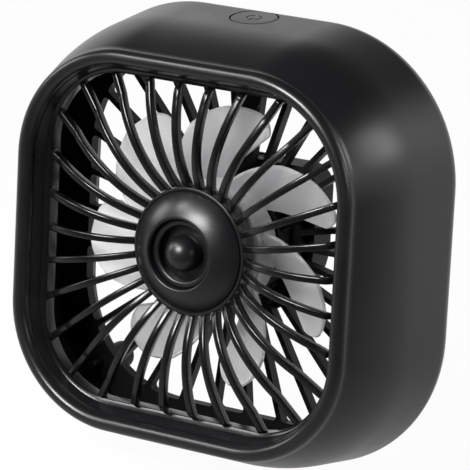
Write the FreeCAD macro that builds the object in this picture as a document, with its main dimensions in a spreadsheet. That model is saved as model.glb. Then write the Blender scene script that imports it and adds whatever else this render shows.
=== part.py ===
"""A small square desk fan: a moulded shell, radial guards, an impeller on a flat motor, a push button.

The fan is modelled lying on its back. Z is the height above the back plane, Y is up when the fan
stands, and the fan axis is Z itself. Each sub-part's Placement then stands the fan up, so in the
finished part +Z is up, the grille looks along -Y and the origin is the bottom centre of the box.
"""
import FreeCAD, Part
import Sketcher
import math
import os
import re

Vector = FreeCAD.Vector
RIGHT = Vector(1, 0, 0)
AXIAL = Vector(0, 0, 1)
THIRDS = (0, 120, 240)
BLADE_ROWS = 7                  # places that fix a blade from its front edge to its rear edge
BLADE_PLACES = 5                # and from the hub to the tip
TIP_POWER = 3.2                 # how squarely a blade's tip is rounded

# Driving dimensions, in millimetres and degrees.
SIZES = {
    # the shell and its back cover
    "body_width": 105.0,        # across the widest place, near the back
    "body_depth": 39.5,         # from the back plane to the front of the bead
    "front_inset": 7.1,         # from the widest place in to the bead's outside, on each side
    "front_corner": 28.0,       # corner radius of the bead's outside
    "bead_width": 3.8,
    "bead_stand": 2.6,          # how far the bead stands in front of the crease at its foot
    "shoulder_inset": 3.0,      # from the widest place in to the shoulder
    "shoulder_depth": 8.1,
    "back_round": 4.6,
    "shell_wall": 2.2,
    "rim_skirt": 1.6,
    "rim_depth": 6.0,
    "seam_height": 2.7,         # where the back cover meets the shell
    "seam_gap": 0.1,
    "fit_gap": 0.1,             # between fixed pieces that slip into each other
    "lip_height": 5.4,
    "lip_wall": 1.2,
    "collar_inset": 5.0,        # from the back edge in to the guard plate: the collar flares by this
    "collar_wall": 1.3,
    "crest_share": 0.9,         # how far down the flare the rounding of its crest starts
    "crest_round": 1.0,
    "bay_half": 13.5,           # the straight bay for the switch, in the middle of the top
    "bay_floor": 1.6,
    "rear_recess": 8.8,
    "plate_wall": 2.7,
    # the rear guard and the motor pod
    "rib_count": 30,
    "rear_rib": 1.3,
    "slot_round": 1.0,
    "slot_start": 16.8,
    "slot_margin": 0.25,
    "slot_corner": 27.6,
    "pod_wall": 2.6,
    "pod_height": 8.6,
    "pod_floor": 1.2,
    "pod_rib": 0.9,
    "pod_rib_count": 20,
    "window_start": 18.0,
    "window_sweep": 30.0,
    "window_height": 4.6,
    # the motor cover and what it covers
    "cover_half": 19.0,
    "cover_top": 18.6,
    "cover_corner": 5.5,
    "cover_wall": 1.2,
    "cover_inset": 0.6,         # how far its back stays inside the back plane
    "cover_round": 0.9,
    "board_wall": 1.0,
    "board_gap": 0.4,
    "board_tab": 7.6,
    "usb_width": 8.9,
    "usb_height": 3.2,
    "usb_length": 7.3,
    "usb_shell": 0.3,
    "boss_radius": 2.0,
    "boss_angle": 48.0,
    "boss_depth": 4.5,
    # the corner screws and their posts
    "post_radius": 2.9,
    "post_sink": 1.6,
    "well_wall": 1.3,
    "screw_head": 3.8,
    "screw_shank": 2.0,
    "head_height": 1.5,
    "shank_reach": 6.5,
    "screw_gap": 0.1,
    "head_taper": 0.4,
    "cross_width": 0.4,
    "cross_depth": 0.6,
    # the bezel and the front grille
    "bezel_face": 1.2,
    "grille_rim": 1.6,
    "corner_square": 1.25,      # each inner ring's corner is this much tighter than its offset
    "bezel_start": 0.2,
    "split_depth": 2.65,
    "opening_depth": 3.55,
    "ledge_depth": 5.25,
    "bezel_depth": 6.6,
    "snap_out": 0.5,
    "snap_height": 0.5,
    "throat_depth": 6.8,
    "throat_wall": 0.7,
    "front_rib": 1.4,
    "crest_place": 28.0,
    "crest_stand": 0.3,
    "rib_depth": 2.6,
    "root_place": 14.2,
    "root_front": 4.7,          # fall of the rib's front edge from its crest to the root
    "root_rear": 5.4,
    "turn_place": 39.5,
    "turn_front": 2.3,
    "turn_rear": 2.4,
    "reach_fall": 2.9,
    "nose_round": 3.6,
    "ring_radius": 14.75,
    "ring_wall": 1.35,
    "ring_depth": 9.1,
    # the hub cap
    "cap_radius": 15.05,
    "cap_skirt": 5.4,
    "cap_rim": 3.8,
    "cap_lip": 0.45,
    "cap_groove": 0.35,
    "dome_top": 0.5,
    "dome_round": 13.0,
    "groove_foot": 0.15,
    "groove_half": 0.25,
    "rim_stand": 0.15,
    "rim_slope": 0.1,
    "cup_wall": 8.2,
    "cup_round": 0.5,
    "cup_step": 1.7,
    "cup_floor": 3.6,
    "cup_inner": 7.3,
    "plug_wall": 1.0,
    "plug_depth": 8.0,
    "cap_wall": 1.6,
    "trim_thick": 0.7,
    "ball_radius": 4.3,
    "ball_drop": 1.9,
    "peg_radius": 2.0,
    # the impeller
    "blade_count": 7,
    "blade_tip": 34.0,
    "blade_wall": 1.2,
    "blade_inset": 1.1,         # of the blades' front edges behind the hub's face
    "blade_gap": 0.5,           # from the pod to the blades' rear edges
    "lead_angle": 75.0,         # where a blade's front edge leaves the hub, in degrees
    "lead_sweep": 1.86,         # degrees that it falls back for each millimetre out
    "trail_angle": 38.5,        # the same two for its rear edge, which curls a little
    "trail_sweep": 2.55,
    "trail_curl": 0.062,
    "tip_round": 5.0,           # fall of the tip at a blade's two edges
    "blade_sink": 0.6,          # of the blades' roots into the hub
    "hub_radius": 15.4,
    "hub_wall": 1.4,
    "hub_round": 1.2,
    "hub_gap": 1.3,             # behind the grille's root ring
    "nose_gap": 0.8,            # from the motor's nose to the hub
    "nave_lift": 0.6,
    "nave_radius": 2.6,
    # the motor
    "can_radius": 12.2,
    "can_wall": 0.8,
    "can_length": 10.0,
    "can_stand": 0.5,           # of the can in front of the pod
    "nose_radius": 3.0,
    "nose_stand": 0.7,
    "bush_radius": 2.0,
    "bush_length": 2.0,
    "shaft_radius": 1.0,
    "shaft_clear": 0.5,         # between the shaft's rear end and the pod's floor
    "running_gap": 0.03,
    "cap_disc": 1.4,
    "magnet_wall": 2.2,
    "magnet_sweep": 140.0,
    "air_gap": 0.6,
    "magnet_over": 0.5,         # past the core at each end
    "core_lift": 2.6,           # from the end cap to the core
    "core_length": 3.6,
    "core_tooth": 2.6,
    "core_nave": 3.2,
    "shoe_wall": 1.2,
    "shoe_sweep": 96.0,
    "coil_gap": 0.7,
    "coil_wall": 1.1,
    "coil_round": 0.7,
    "commutator_radius": 2.3,
    "commutator_length": 1.6,
    "terminal_place": 8.5,
    "terminal_width": 2.0,
    "terminal_wall": 0.5,
    "terminal_reach": 0.4,
    "slit_half": 1.0,
    "brush_gap": 0.32,
    "brush_width": 1.2,
    "brush_wall": 0.3,
    "brush_tip": 0.5,
    "brush_height": 1.4,
    # the button and its switch
    "button_back": 9.7,
    "button_radius": 5.55,
    "button_gap": 0.3,
    "button_edge": 0.3,
    "button_flange": 0.7,
    "flange_gap": 0.3,
    "button_stop": 0.6,
    "plunger_radius": 1.6,
    "plunger_stand": 0.9,
    "plunger_sink": 0.5,
    "switch_floor": 0.2,
    "switch_half": 3.0,
    "switch_wall": 1.6,
    "strip_half": 11.1,
    "strip_depth": 4.0,
    "strip_wall": 1.0,
    "strip_post": 8.9,
    "strip_reach": 3.6,
    "strip_boss": 1.1,
    "boss_sink": 0.7,           # of the strip's bosses into the wall
    "strip_screw": 0.8,
    "strip_head": 1.5,
    "strip_head_wall": 0.6,
}

# Sizes that follow from the driving ones. Each formula may use the names above it.
RULES = {
    "front_width": "body_width - 2 * front_inset",
    "shoulder_width": "body_width - 2 * shoulder_inset",
    "crease": "body_depth - bead_stand",
    "corner_mid": "front_width / 2 - front_corner",
    "bore_half": "front_width / 2 - bead_width",
    "bead_mid": "body_depth - bead_width / 2",
    "shoulder": "crease - shoulder_depth",
    "shoulder_out": "(shoulder_width - front_width) / 2",
    "round_mid": "body_width / 2 - back_round",
    "lean": "atan((body_width - shoulder_width) / 2 / (shoulder - back_round))",
    "shoulder_radius": "sqrt(shoulder_out ^ 2 + shoulder_depth ^ 2)"
                       " / (2 * sin(atan(shoulder_out / shoulder_depth) - lean))",
    "round_end": "back_round * (1 + sin(lean))",
    "round_half": "round_mid + back_round * cos(lean)",
    "cover_edge": "seam_height - seam_gap",
    "plate_top": "rear_recess + plate_wall",
    "collar_half": "round_mid - collar_inset",
    "collar_out": "collar_half + collar_wall / cos(atan(collar_inset / rear_recess))",
    "slot_half": "collar_half - slot_margin",
    "pod_bore": "can_radius + fit_gap",
    "pod_radius": "pod_bore + pod_wall",
    "pod_top": "rear_recess + pod_height",
    "can_base": "pod_top + can_stand - can_length",
    "pod_base": "can_base - pod_floor",
    "board_low": "pod_base - board_wall",
    "boss_circle": "cover_half - cover_wall - boss_radius - 2 * fit_gap",
    "board_radius": "boss_circle - boss_radius - board_gap",
    "board_top": "cover_top - cover_wall - board_gap",
    "split_half": "bore_half - fit_gap - bezel_face",
    "split_corner": "front_corner - bead_width - fit_gap - bezel_face - corner_square",
    "opening_half": "split_half - fit_gap - grille_rim",
    "opening_corner": "split_corner - fit_gap - grille_rim - corner_square",
    "rib_reach": "opening_half * sqrt(2)",
    "crest_top": "crease + crest_stand",
    "crest_low": "crest_top - rib_depth",
    "hub_top": "crease - ring_depth - hub_gap",
    "can_top": "can_base + can_length",
    "hub_low": "can_top + nose_stand + nose_gap",
    "blade_front": "hub_top - blade_inset",
    "blade_back": "pod_top + blade_gap",
    "shaft_top": "hub_top - hub_wall",
    "core_radius": "can_radius - can_wall - magnet_wall - air_gap",
    "core_base": "can_base + cap_disc + core_lift",
    "coil_reach": "sqrt((core_radius - shoe_wall - fit_gap) ^ 2 - (core_tooth / 2 + coil_wall) ^ 2)",
    "button_hole": "button_radius + button_gap",
    "flange_top": "shell_wall + flange_gap",
    "flange_low": "flange_top + button_flange",
    "switch_top": "flange_low + plunger_stand",
    "strip_top": "switch_top + switch_wall",
    "post_bore": "screw_shank / 2 + screw_gap",
    "press_bore": "shaft_radius + fit_gap / 5",
}

document = FreeCAD.newDocument("DeskFan")
sheet = document.addObject("Spreadsheet::Sheet", "Sizes")
for row, (alias, size) in enumerate(SIZES.items(), start=1):
    sheet.set(f"A{row}", alias.replace("_", " "))
    sheet.set(f"B{row}", str(size))
    sheet.setAlias(f"B{row}", alias)
document.recompute()


def formula(text):
    """Writes a rule out in full, in the cells of the sheet."""
    def cell(match):
        word = match.group(0)
        if word in RULES:
            return f"({formula(RULES[word])})"
        return f"<<Sizes>>.{word}" if word in SIZES else word
    return re.sub(r"[a-z_]+", cell, str(text))


def size(text):
    """The number that a rule comes to."""
    found = sheet.evalExpression(formula(text))
    return float(getattr(found, "Value", found))


def side(height):
    """Half the width over the shell's sloping side, at a height above the back plane."""
    return f"(round_half + (round_end - ({height})) * tan(lean))"


def inside(height):
    """The same on the inner face of the wall."""
    return f"({side(height)} - shell_wall / cos(lean))"


def post_place(sign=""):
    """Where a corner screw stands, along X and Y alike: sunk a little into the shell's corner."""
    reach = f"({inside('shoulder')} + post_sink - post_radius - corner_mid)"
    return f"{sign}(corner_mid + {reach} * sqrt(0.5))"


# ---------------------------------------------------------------- tools for sketches and features

def new_body(label):
    body = document.addObject("PartDesign::Body", label)
    body.Label = label
    return body


def new_sketch(body, role, level="0"):
    """A sketch on one of the body's own planes, or at a level in front of that plane."""
    sketch = body.newObject("Sketcher::SketchObject", body.Label + "_sketch")
    plane = next(item for item in body.Origin.OriginFeatures if item.Role == role)
    sketch.AttachmentSupport = [(plane, "")]
    sketch.MapMode = "FlatFace"
    sketch.setExpression("AttachmentOffset.Base.z", formula(level))
    return sketch


def fix_point(sketch, edge, end, place):
    """Ties one end of an edge to a place given by two formulas."""
    for kind, text in zip(("DistanceX", "DistanceY"), place):
        sketch.addConstraint(Sketcher.Constraint(kind, -1, 1, edge, end, size(text)))
        sketch.setExpression(f"Constraints[{sketch.ConstraintCount - 1}]", formula(text))


def edge_between(start, stop, bend):
    """A straight edge, or the shorter arc of a radius that turns left (plus) or right (minus)."""
    if not bend:
        return Part.LineSegment(start, stop)
    radius = size(bend[0])
    chord = stop - start
    left = Vector(-chord.y, chord.x, 0).normalize() * math.copysign(1, radius)
    deep = math.sqrt(max(radius ** 2 - chord.Length ** 2 / 4, 0))
    return Part.Arc(start, (start + stop) / 2 + left * (deep - abs(radius)), stop)


def draw(sketch, places):
    """Draws a closed outline. A place with a third value is reached by an arc of that radius:
    plus turns left, minus turns right."""
    spots = [Vector(size(place[0]), size(place[1]), 0) for place in places]
    first = sketch.GeometryCount
    for index, place in enumerate(places):
        start = spots[index - 1]
        stop = spots[index]
        sketch.addGeometry(edge_between(start, stop, place[2:]))
    for index, place in enumerate(places):
        edge = first + index
        turned = len(place) == 3 and size(place[2]) > 0 or len(place) == 2
        begin, finish = (1, 2) if turned else (2, 1)
        fix_point(sketch, edge, begin, places[index - 1][:2])
        fix_point(sketch, edge, finish, place[:2])
        if len(place) == 3:
            sketch.addConstraint(Sketcher.Constraint("Radius", edge, abs(size(place[2]))))
            text = place[2].lstrip("-")
            sketch.setExpression(f"Constraints[{sketch.ConstraintCount - 1}]", formula(text))
    return sketch


def outline(body, level, places):
    """A closed outline in a plane square to the fan axis, at a level."""
    return draw(new_sketch(body, "XY_Plane", level), places)


def turned(shape, angle):
    """A copy of a shape, turned about the fan axis."""
    copy = shape.copy()
    copy.rotate(Vector(), AXIAL, angle)
    return copy


def rounded_square(half, corner):
    """The places of a square with round corners, from the middle of its right side."""
    flat = f"({half} - {corner})"
    return [
        (half, "0"),
        (half, flat),
        (flat, half, corner),
        (f"-{flat}", half),
        (f"-{half}", flat, corner),
        (f"-{half}", f"-{flat}"),
        (f"-{flat}", f"-{half}", corner),
        (flat, f"-{half}"),
        (half, f"-{flat}", corner),
    ]


def box_outline(across, upward, half_width, half_height):
    """The places of a rectangle about a middle."""
    return [
        (f"{across} - {half_width}", f"{upward} - {half_height}"),
        (f"{across} + {half_width}", f"{upward} - {half_height}"),
        (f"{across} + {half_width}", f"{upward} + {half_height}"),
        (f"{across} - {half_width}", f"{upward} + {half_height}"),
    ]


def draw_circle(sketch, radius, place=("0", "0")):
    edge = sketch.addGeometry(Part.Circle(Vector(size(place[0]), size(place[1]), 0), AXIAL, size(radius)))
    fix_point(sketch, edge, 3, place)
    sketch.addConstraint(Sketcher.Constraint("Radius", edge, size(radius)))
    sketch.setExpression(f"Constraints[{sketch.ConstraintCount - 1}]", formula(radius))
    return sketch


def pad(body, sketch, length, midplane=False):
    feature = body.newObject("PartDesign::Pad", body.Label + "_pad")
    feature.Profile = sketch
    feature.Midplane = midplane
    feature.setExpression("Length", formula(length))
    return feature


def pocket(body, sketch, length, upward=True):
    feature = body.newObject("PartDesign::Pocket", body.Label + "_pocket")
    feature.Profile = sketch
    feature.Reversed = upward
    feature.setExpression("Length", formula(length))
    return feature


def turn(body, places, kind="Revolution", sweep="360", start="0"):
    """Turns a section, drawn as radius and height, about the fan axis, from one angle on."""
    sketch = new_sketch(body, "XZ_Plane")
    sketch.AttachmentOffset = FreeCAD.Placement(Vector(), FreeCAD.Rotation(Vector(0, 1, 0), 1))
    sketch.setExpression("AttachmentOffset.Rotation.Angle", formula(start))
    feature = body.newObject(f"PartDesign::{kind}", body.Label + "_turn")
    feature.Profile = draw(sketch, places)
    feature.ReferenceAxis = (feature.Profile[0], ["V_Axis"])
    feature.setExpression("Angle", formula(sweep))
    return feature


def carry(body, kind, section, half, corner):
    """Carries a section around a rounded square, as a wall or as a cut."""
    path = draw(new_sketch(body, "XY_Plane"), rounded_square(half, corner))
    feature = body.newObject(f"PartDesign::{kind}Pipe", body.Label + "_wall")
    feature.Profile = draw(new_sketch(body, "XZ_Plane"), section)
    feature.Spine = (path, [])
    feature.Transition = "Right corner"
    return feature


def around(body, features, count):
    """Repeats features about the fan axis."""
    pattern = body.newObject("PartDesign::PolarPattern", body.Label + "_pattern")
    pattern.Originals = features
    pattern.Axis = (next(item for item in body.Origin.OriginFeatures if item.Role == "Z_Axis"), [""])
    pattern.setExpression("Occurrences", formula(count))
    body.Tip = pattern
    return pattern


def stick(body, kind, radius, height, place, level):
    """A round stick or hole, at a place and level."""
    feature = body.newObject(f"PartDesign::{kind}Cylinder", body.Label + "_stick")
    feature.AttachmentSupport = [(body.Origin.OriginFeatures[3], "")]
    feature.MapMode = "FlatFace"
    feature.setExpression("Radius", formula(radius))
    feature.setExpression("Height", formula(height))
    feature.setExpression("AttachmentOffset.Base.x", formula(place[0]))
    feature.setExpression("AttachmentOffset.Base.y", formula(place[1]))
    feature.setExpression("AttachmentOffset.Base.z", formula(level))
    return feature


def stand_up(part, tilted=False):
    """Stands a sub-part up; a tilted one lies along the normal of the top wall at the button."""
    back = "button_back" if tilted else "0"
    rise = side("button_back") if tilted else "0"
    part.setExpression("Placement.Base.y", formula(f"body_depth / 2 - {back}"))
    part.setExpression("Placement.Base.z", formula(f"body_width / 2 + {rise}"))
    part.setExpression("Placement.Rotation.Angle", formula("lean" if tilted else "90"))
    part.Placement.Rotation.Axis = RIGHT
    return part


NODES = []


def finish(part, label=None, tilted=False):
    """Names a sub-part, stands it up and puts it on the list of nodes."""
    part.Label = label or part.Label
    NODES.append(stand_up(part, tilted))
    return part


def set_piece(label, shape, tilted=False):
    """A sub-part of several solids, or of a free-form one, whose shape is worked out here."""
    piece = document.addObject("Part::Feature", label)
    piece.Shape = shape
    return finish(piece, label, tilted)


# ---------------------------------------------------------------- the shell

def make_shell():
    """One wall section carried around the square: the rear edge, the sloping side, the round
    shoulder, the bead and the bore for the bezel. Posts in its corners take the back screws."""
    body = new_body("housing_shell")
    quarter = "bead_width / 2"
    carry(body, "Additive", [
        ("bore_half", "crease - rim_depth"),
        ("bore_half", "bead_mid"),
        (f"bore_half + {quarter}", "body_depth", f"-{quarter}"),
        ("front_width / 2", "bead_mid", f"-{quarter}"),
        ("front_width / 2", "crease"),
        ("shoulder_width / 2", "shoulder", "-shoulder_radius"),
        ("round_half", "round_end"),
        ("round_mid + sqrt(back_round ^ 2 - (back_round - seam_height) ^ 2)", "seam_height", "-back_round"),
        (inside("seam_height"), "seam_height"),
        (inside("shoulder"), "shoulder"),
        ("bore_half + rim_skirt", "crease - shell_wall * 1.2"),
        ("bore_half + rim_skirt", "crease - rim_depth"),
    ], "front_width / 2", "front_corner")
    post_low = "plate_top + fit_gap"
    spot = (post_place(), post_place())
    post = stick(body, "Additive", "post_radius", f"shoulder + shell_wall / 2 - ({post_low})", spot, post_low)
    around(body, [post], "4")
    bore = stick(body, "Subtractive", "post_bore", "shank_reach + 1 - plate_wall", spot, post_low)
    around(body, [bore], "4")
    boss = "strip_screw + strip_boss"
    hole = "strip_screw + screw_gap"
    for place in ("strip_post", "-strip_post"):
        tilted_stick(body, "Additive", boss, place, "strip_top", "shell_wall - boss_sink")
    for place in ("strip_post", "-strip_post"):
        tilted_stick(body, "Subtractive", hole, place, "strip_top", "shell_wall + boss_sink")
    tilted_stick(body, "Subtractive", "button_hole", "0", "shell_wall + 2", "-2")
    finish(body)


def tilted_stick(body, kind, radius, place, deep, start):
    """A round stick or hole square to the top wall, between two depths under its surface."""
    feature = stick(body, kind, radius, f"{deep} - ({start})", (place, "0"), "0")
    feature.AttachmentOffset = FreeCAD.Placement(Vector(), FreeCAD.Rotation(RIGHT, 1))
    feature.setExpression("AttachmentOffset.Rotation.Angle", formula("lean - 90 deg"))
    feature.setExpression("AttachmentOffset.Base.y", formula(f"{side('button_back')} - ({deep}) * cos(lean)"))
    feature.setExpression("AttachmentOffset.Base.z", formula(f"button_back - ({deep}) * sin(lean)"))
    return feature


# ---------------------------------------------------------------- the bezel and the front grille

def make_bezel():
    """A ring that snaps into the shell's bore: a sloping face, a recess for the grille's flange,
    a ledge under it and a small lip that hooks behind the shell's skirt."""
    body = new_body("front_bezel")
    outer = "(bore_half - fit_gap)"
    outer_corner = "(front_corner - bead_width - fit_gap)"
    base = "crease - bezel_depth - snap_height"
    hook = rounded_square(f"({outer} + snap_out)", f"({outer_corner} + snap_out)")
    ring = outline(body, base, hook)
    pad(body, ring, "snap_height")
    ring = outline(body, base, rounded_square(outer, outer_corner))
    pad(body, ring, "bezel_depth + snap_height - bezel_start")
    wide = rounded_square(f"({outer} - fit_gap)", f"({outer_corner} - fit_gap)")
    mouth = outline(body, "crease - bezel_start", wide)
    throat = outline(body, "crease - split_depth", rounded_square("split_half", "split_corner"))
    funnel = body.newObject("PartDesign::SubtractiveLoft", "bezel_face")
    funnel.Profile = mouth
    funnel.Sections = [throat]
    funnel.Ruled = True
    recess = outline(body, "crease - ledge_depth", rounded_square("split_half", "split_corner"))
    pocket(body, recess, "ledge_depth")
    ledge = "(opening_half + throat_wall + fit_gap)"
    ledge_corner = "(opening_corner + throat_wall + fit_gap)"
    hole = outline(body, base, rounded_square(ledge, ledge_corner))
    pocket(body, hole, "body_depth")
    finish(body)


def make_grille_frame():
    """The grille's own frame: a flange in the bezel, a face that carries on the bezel's slope and a
    thin throat that the ribs run into."""
    body = new_body("grille_frame")
    rim = rounded_square("(split_half - fit_gap)", "(split_corner - fit_gap)")
    flange = outline(body, "crease - ledge_depth", rim)
    pad(body, flange, "ledge_depth - split_depth")
    tube = rounded_square("(opening_half + throat_wall)", "(opening_corner + throat_wall)")
    throat = outline(body, "crease - throat_depth", tube)
    pad(body, throat, "throat_depth - ledge_depth")
    wide = rounded_square("(split_half - 2 * fit_gap)", "(split_corner - 2 * fit_gap)")
    mouth = outline(body, "crease - split_depth", wide)
    edge = outline(body, "crease - opening_depth", rounded_square("opening_half", "opening_corner"))
    face = body.newObject("PartDesign::SubtractiveLoft", "frame_face")
    face.Profile = mouth
    face.Sections = [edge]
    face.Ruled = True
    hole = outline(body, "crease - throat_depth", rounded_square("opening_half", "opening_corner"))
    pocket(body, hole, "throat_depth")
    return body


def crown(run, fall):
    """The radius of an arc that leaves its crest level and falls by so much over a run."""
    return f"((({run}) ^ 2 + ({fall}) ^ 2) / (2 * ({fall})))"


def make_grille_ribs():
    """One rib, domed in side view, repeated about the axis, trimmed to the opening and joined at
    the hub by the root ring. Every rib is straight and radial seen from the front."""
    body = new_body("grille_ribs")
    root_run = "crest_place - root_place"
    turn_run = "turn_place - crest_place"
    outline = draw(new_sketch(body, "XZ_Plane"), [
        ("root_place", "crest_top - root_front"),
        ("crest_place", "crest_top", "-" + crown(root_run, "root_front")),
        ("turn_place", "crest_top - turn_front", "-" + crown(turn_run, "turn_front")),
        ("rib_reach", "crest_top - turn_front - reach_fall"),
        ("rib_reach", "crest_low - turn_rear - reach_fall"),
        ("turn_place", "crest_low - turn_rear"),
        ("crest_place", "crest_low", crown(turn_run, "turn_rear")),
        ("root_place", "crest_low - root_rear", crown(root_run, "root_rear")),
    ])
    rib = pad(body, outline, "front_rib", midplane=True)
    around(body, [rib], "rib_count")
    trim = new_sketch(body, "XY_Plane", "crease - body_depth")
    draw_circle(trim, "body_width")
    draw(trim, rounded_square("(opening_half + throat_wall / 2)", "(opening_corner + throat_wall / 2)"))
    pocket(body, trim, "2 * body_depth")
    nose = "opening_half + fit_gap"
    carry(body, "Subtractive", [
        (nose, "crease + body_depth"),
        (f"{nose} - nose_round", "crease + body_depth"),
        (f"{nose} - nose_round", "crest_top - turn_front / 2 + 0.2"),
        (nose, "crest_top - turn_front / 2 + 0.2 - nose_round", "-nose_round"),
    ], "opening_half", "opening_corner")
    seat = "(cap_skirt + fit_gap)"
    stick(body, "Subtractive", "cap_radius + fit_gap", "body_depth", ("0", "0"), f"crease - {seat}")
    turn(body, [
        ("ring_radius - ring_wall", f"crease - {seat}"),
        ("ring_radius - ring_wall", "crease - ring_depth"),
        ("ring_radius", "crease - ring_depth"),
        ("ring_radius", f"crease - {seat}"),
    ])
    return body


def make_grille():
    guard = document.addObject("Part::Fuse", "front_grille")
    guard.Base = make_grille_frame()
    guard.Tool = make_grille_ribs()
    finish(guard)


def make_hub_cap():
    """A domed cap on the grille's root ring: a fine lip and groove at its rim, and a stepped cup in
    the middle. Its plug slips into the ring."""
    body = new_body("hub_cap")
    lip = "cap_radius - cap_lip"
    groove = f"{lip} - cap_groove"
    dome_foot = f"{groove} - groove_foot"
    plug = "ring_radius - ring_wall - fit_gap"
    turn(body, [
        ("peg_radius + fit_gap", "crease - cup_floor - cap_wall"),
        ("peg_radius + fit_gap", "crease - cup_floor"),
        ("cup_inner", "crease - cup_floor"),
        ("cup_inner", "crease - cup_step"),
        ("cup_wall", "crease - cup_step"),
        ("cup_wall", "crease + dome_top - cup_round"),
        ("cup_wall + cup_round", "crease + dome_top", "-cup_round"),
        (dome_foot, "crease - cap_rim + groove_half", "-dome_round"),
        (dome_foot, "crease - cap_rim - groove_half"),
        (groove, "crease - cap_rim - groove_half"),
        (groove, "crease - cap_rim + rim_stand"),
        ("cap_radius - rim_slope", "crease - cap_rim + rim_stand"),
        ("cap_radius", "crease - cap_rim"),
        ("cap_radius", "crease - cap_skirt"),
        (plug, "crease - cap_skirt"),
        (plug, "crease - plug_depth"),
        (f"{plug} - plug_wall", "crease - plug_depth"),
        (f"{plug} - plug_wall", "crease - cup_floor - cap_wall"),
    ])
    finish(body)
    ring = new_body("hub_trim_ring")
    rise = "crease - cup_step"
    turn(ring, [
        ("cup_inner - trim_thick", rise),
        ("cup_wall - fit_gap", rise),
        ("cup_wall - fit_gap", f"{rise} + trim_thick / 2"),
        ("cup_inner", f"{rise} + trim_thick", "trim_thick"),
        ("cup_inner - trim_thick", f"{rise} + trim_thick / 2", "trim_thick"),
    ])
    finish(ring)
    ball = new_body("hub_ball")
    floor = "(cup_floor - ball_drop)"
    waist = f"sqrt(ball_radius ^ 2 - {floor} ^ 2)"
    turn(ball, [
        ("0", "crease - cup_floor - cap_wall"),
        ("peg_radius", "crease - cup_floor - cap_wall"),
        ("peg_radius", "crease - cup_floor"),
        (waist, "crease - cup_floor"),
        ("ball_radius", "crease - ball_drop", "ball_radius"),
        ("0", "crease - ball_drop + ball_radius", "ball_radius"),
    ])
    finish(ball)


# ---------------------------------------------------------------- the back cover and its guard

def make_cover_frame():
    """The back cover's outside: a rim that carries on the shell's rounded edge, a lip inside the
    shell, a collar that narrows from the rim to the guard plate, the plate itself, a bay for the
    switch and four screw wells."""
    body = new_body("cover_frame")
    lip = f"({inside('lip_height')} - fit_gap)"
    carry(body, "Additive", [
        ("round_mid", "0", "crest_round"),
        ("round_mid + sqrt(back_round ^ 2 - (back_round - cover_edge) ^ 2)", "cover_edge", "back_round"),
        (lip, "cover_edge"),
        (lip, "lip_height"),
        (f"{lip} - lip_wall", "lip_height"),
        (f"{lip} - lip_wall", f"rear_recess * (1 - ({lip} - lip_wall - collar_out) / collar_inset)"),
        ("collar_out", "rear_recess"),
        ("collar_half", "rear_recess"),
        ("collar_half + collar_inset * crest_share", "rear_recess * (1 - crest_share)"),
    ], "front_width / 2", "front_corner")
    bay = outline(body, "bay_floor / 2", [
        ("-bay_half", "collar_half"),
        ("bay_half", "collar_half"),
        ("bay_half", "round_mid"),
        ("-bay_half", "round_mid"),
    ])
    pad(body, bay, "rear_recess - bay_floor / 2")
    edge = f"({inside('plate_top')} - fit_gap)"
    plate = outline(body, "rear_recess", rounded_square(edge, f"({edge} - corner_mid)"))
    pad(body, plate, "plate_wall")
    spot = (post_place(), post_place())
    head = "screw_head / 2 + screw_gap"
    well = stick(body, "Additive", f"{head} + well_wall", "rear_recess - bay_floor", spot, "bay_floor")
    around(body, [well], "4")
    well = stick(body, "Subtractive", head, "rear_recess + 1", spot, "-1")
    around(body, [well], "4")
    bore = stick(body, "Subtractive", "post_bore", "plate_wall + 2", spot, "rear_recess - 1")
    around(body, [bore], "4")
    notch = outline(body, "cover_edge", [
        ("collar_wall - bay_half", "collar_half + collar_wall"),
        ("bay_half - collar_wall", "collar_half + collar_wall"),
        ("bay_half - collar_wall", "body_width"),
        ("collar_wall - bay_half", "body_width"),
    ])
    pocket(body, notch, "plate_top")
    stick(body, "Subtractive", "pod_bore", "body_depth", ("0", "0"), "can_base")
    return body


def make_pod():
    """The motor's seat: a fluted pod in front of the guard plate with a window in its side, a floor
    behind the plate, and four bosses around the floor for the motor cover."""
    body = new_body("motor_pod")
    stick(body, "Additive", "pod_radius", "pod_height", ("0", "0"), "rear_recess")
    stick(body, "Additive", "pod_bore + pod_floor", "rear_recess - pod_base", ("0", "0"), "pod_base")
    flute = outline(body, "plate_top - 0.5", [
        ("pod_radius - pod_rib", "-pod_rib / 2"),
        ("pod_radius + pod_rib / 2", "-pod_rib / 2"),
        ("pod_radius + pod_rib / 2", "pod_rib / 2"),
        ("pod_radius - pod_rib", "pod_rib / 2"),
    ])
    flute = pad(body, flute, "pod_top - plate_top - pod_rib")
    around(body, [flute], "pod_rib_count")
    boss_low = "cover_inset + cover_wall + fit_gap"
    for place in boss_places():
        stick(body, "Additive", "boss_radius", f"rear_recess - ({boss_low})", place, boss_low)
    for place in boss_places():
        stick(body, "Subtractive", "strip_screw + screw_gap", "boss_depth", place, "cover_inset")
    stick(body, "Subtractive", "pod_bore", "body_depth", ("0", "0"), "can_base")
    for sign in ("", "-"):
        slit = outline(body, "pod_base - 1", box_outline(
            f"{sign}terminal_place", "0", "slit_half", "2 * slit_half"))
        pocket(body, slit, "pod_floor + 2")
    window_low = "pod_top - pod_rib - window_height"
    turn(body, [
        ("pod_bore - 1", window_low),
        ("pod_radius + 2", window_low),
        ("pod_radius + 2", "pod_top - pod_rib"),
        ("pod_bore - 1", "pod_top - pod_rib"),
    ], "Groove", "window_sweep", "window_start")
    return body


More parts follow.
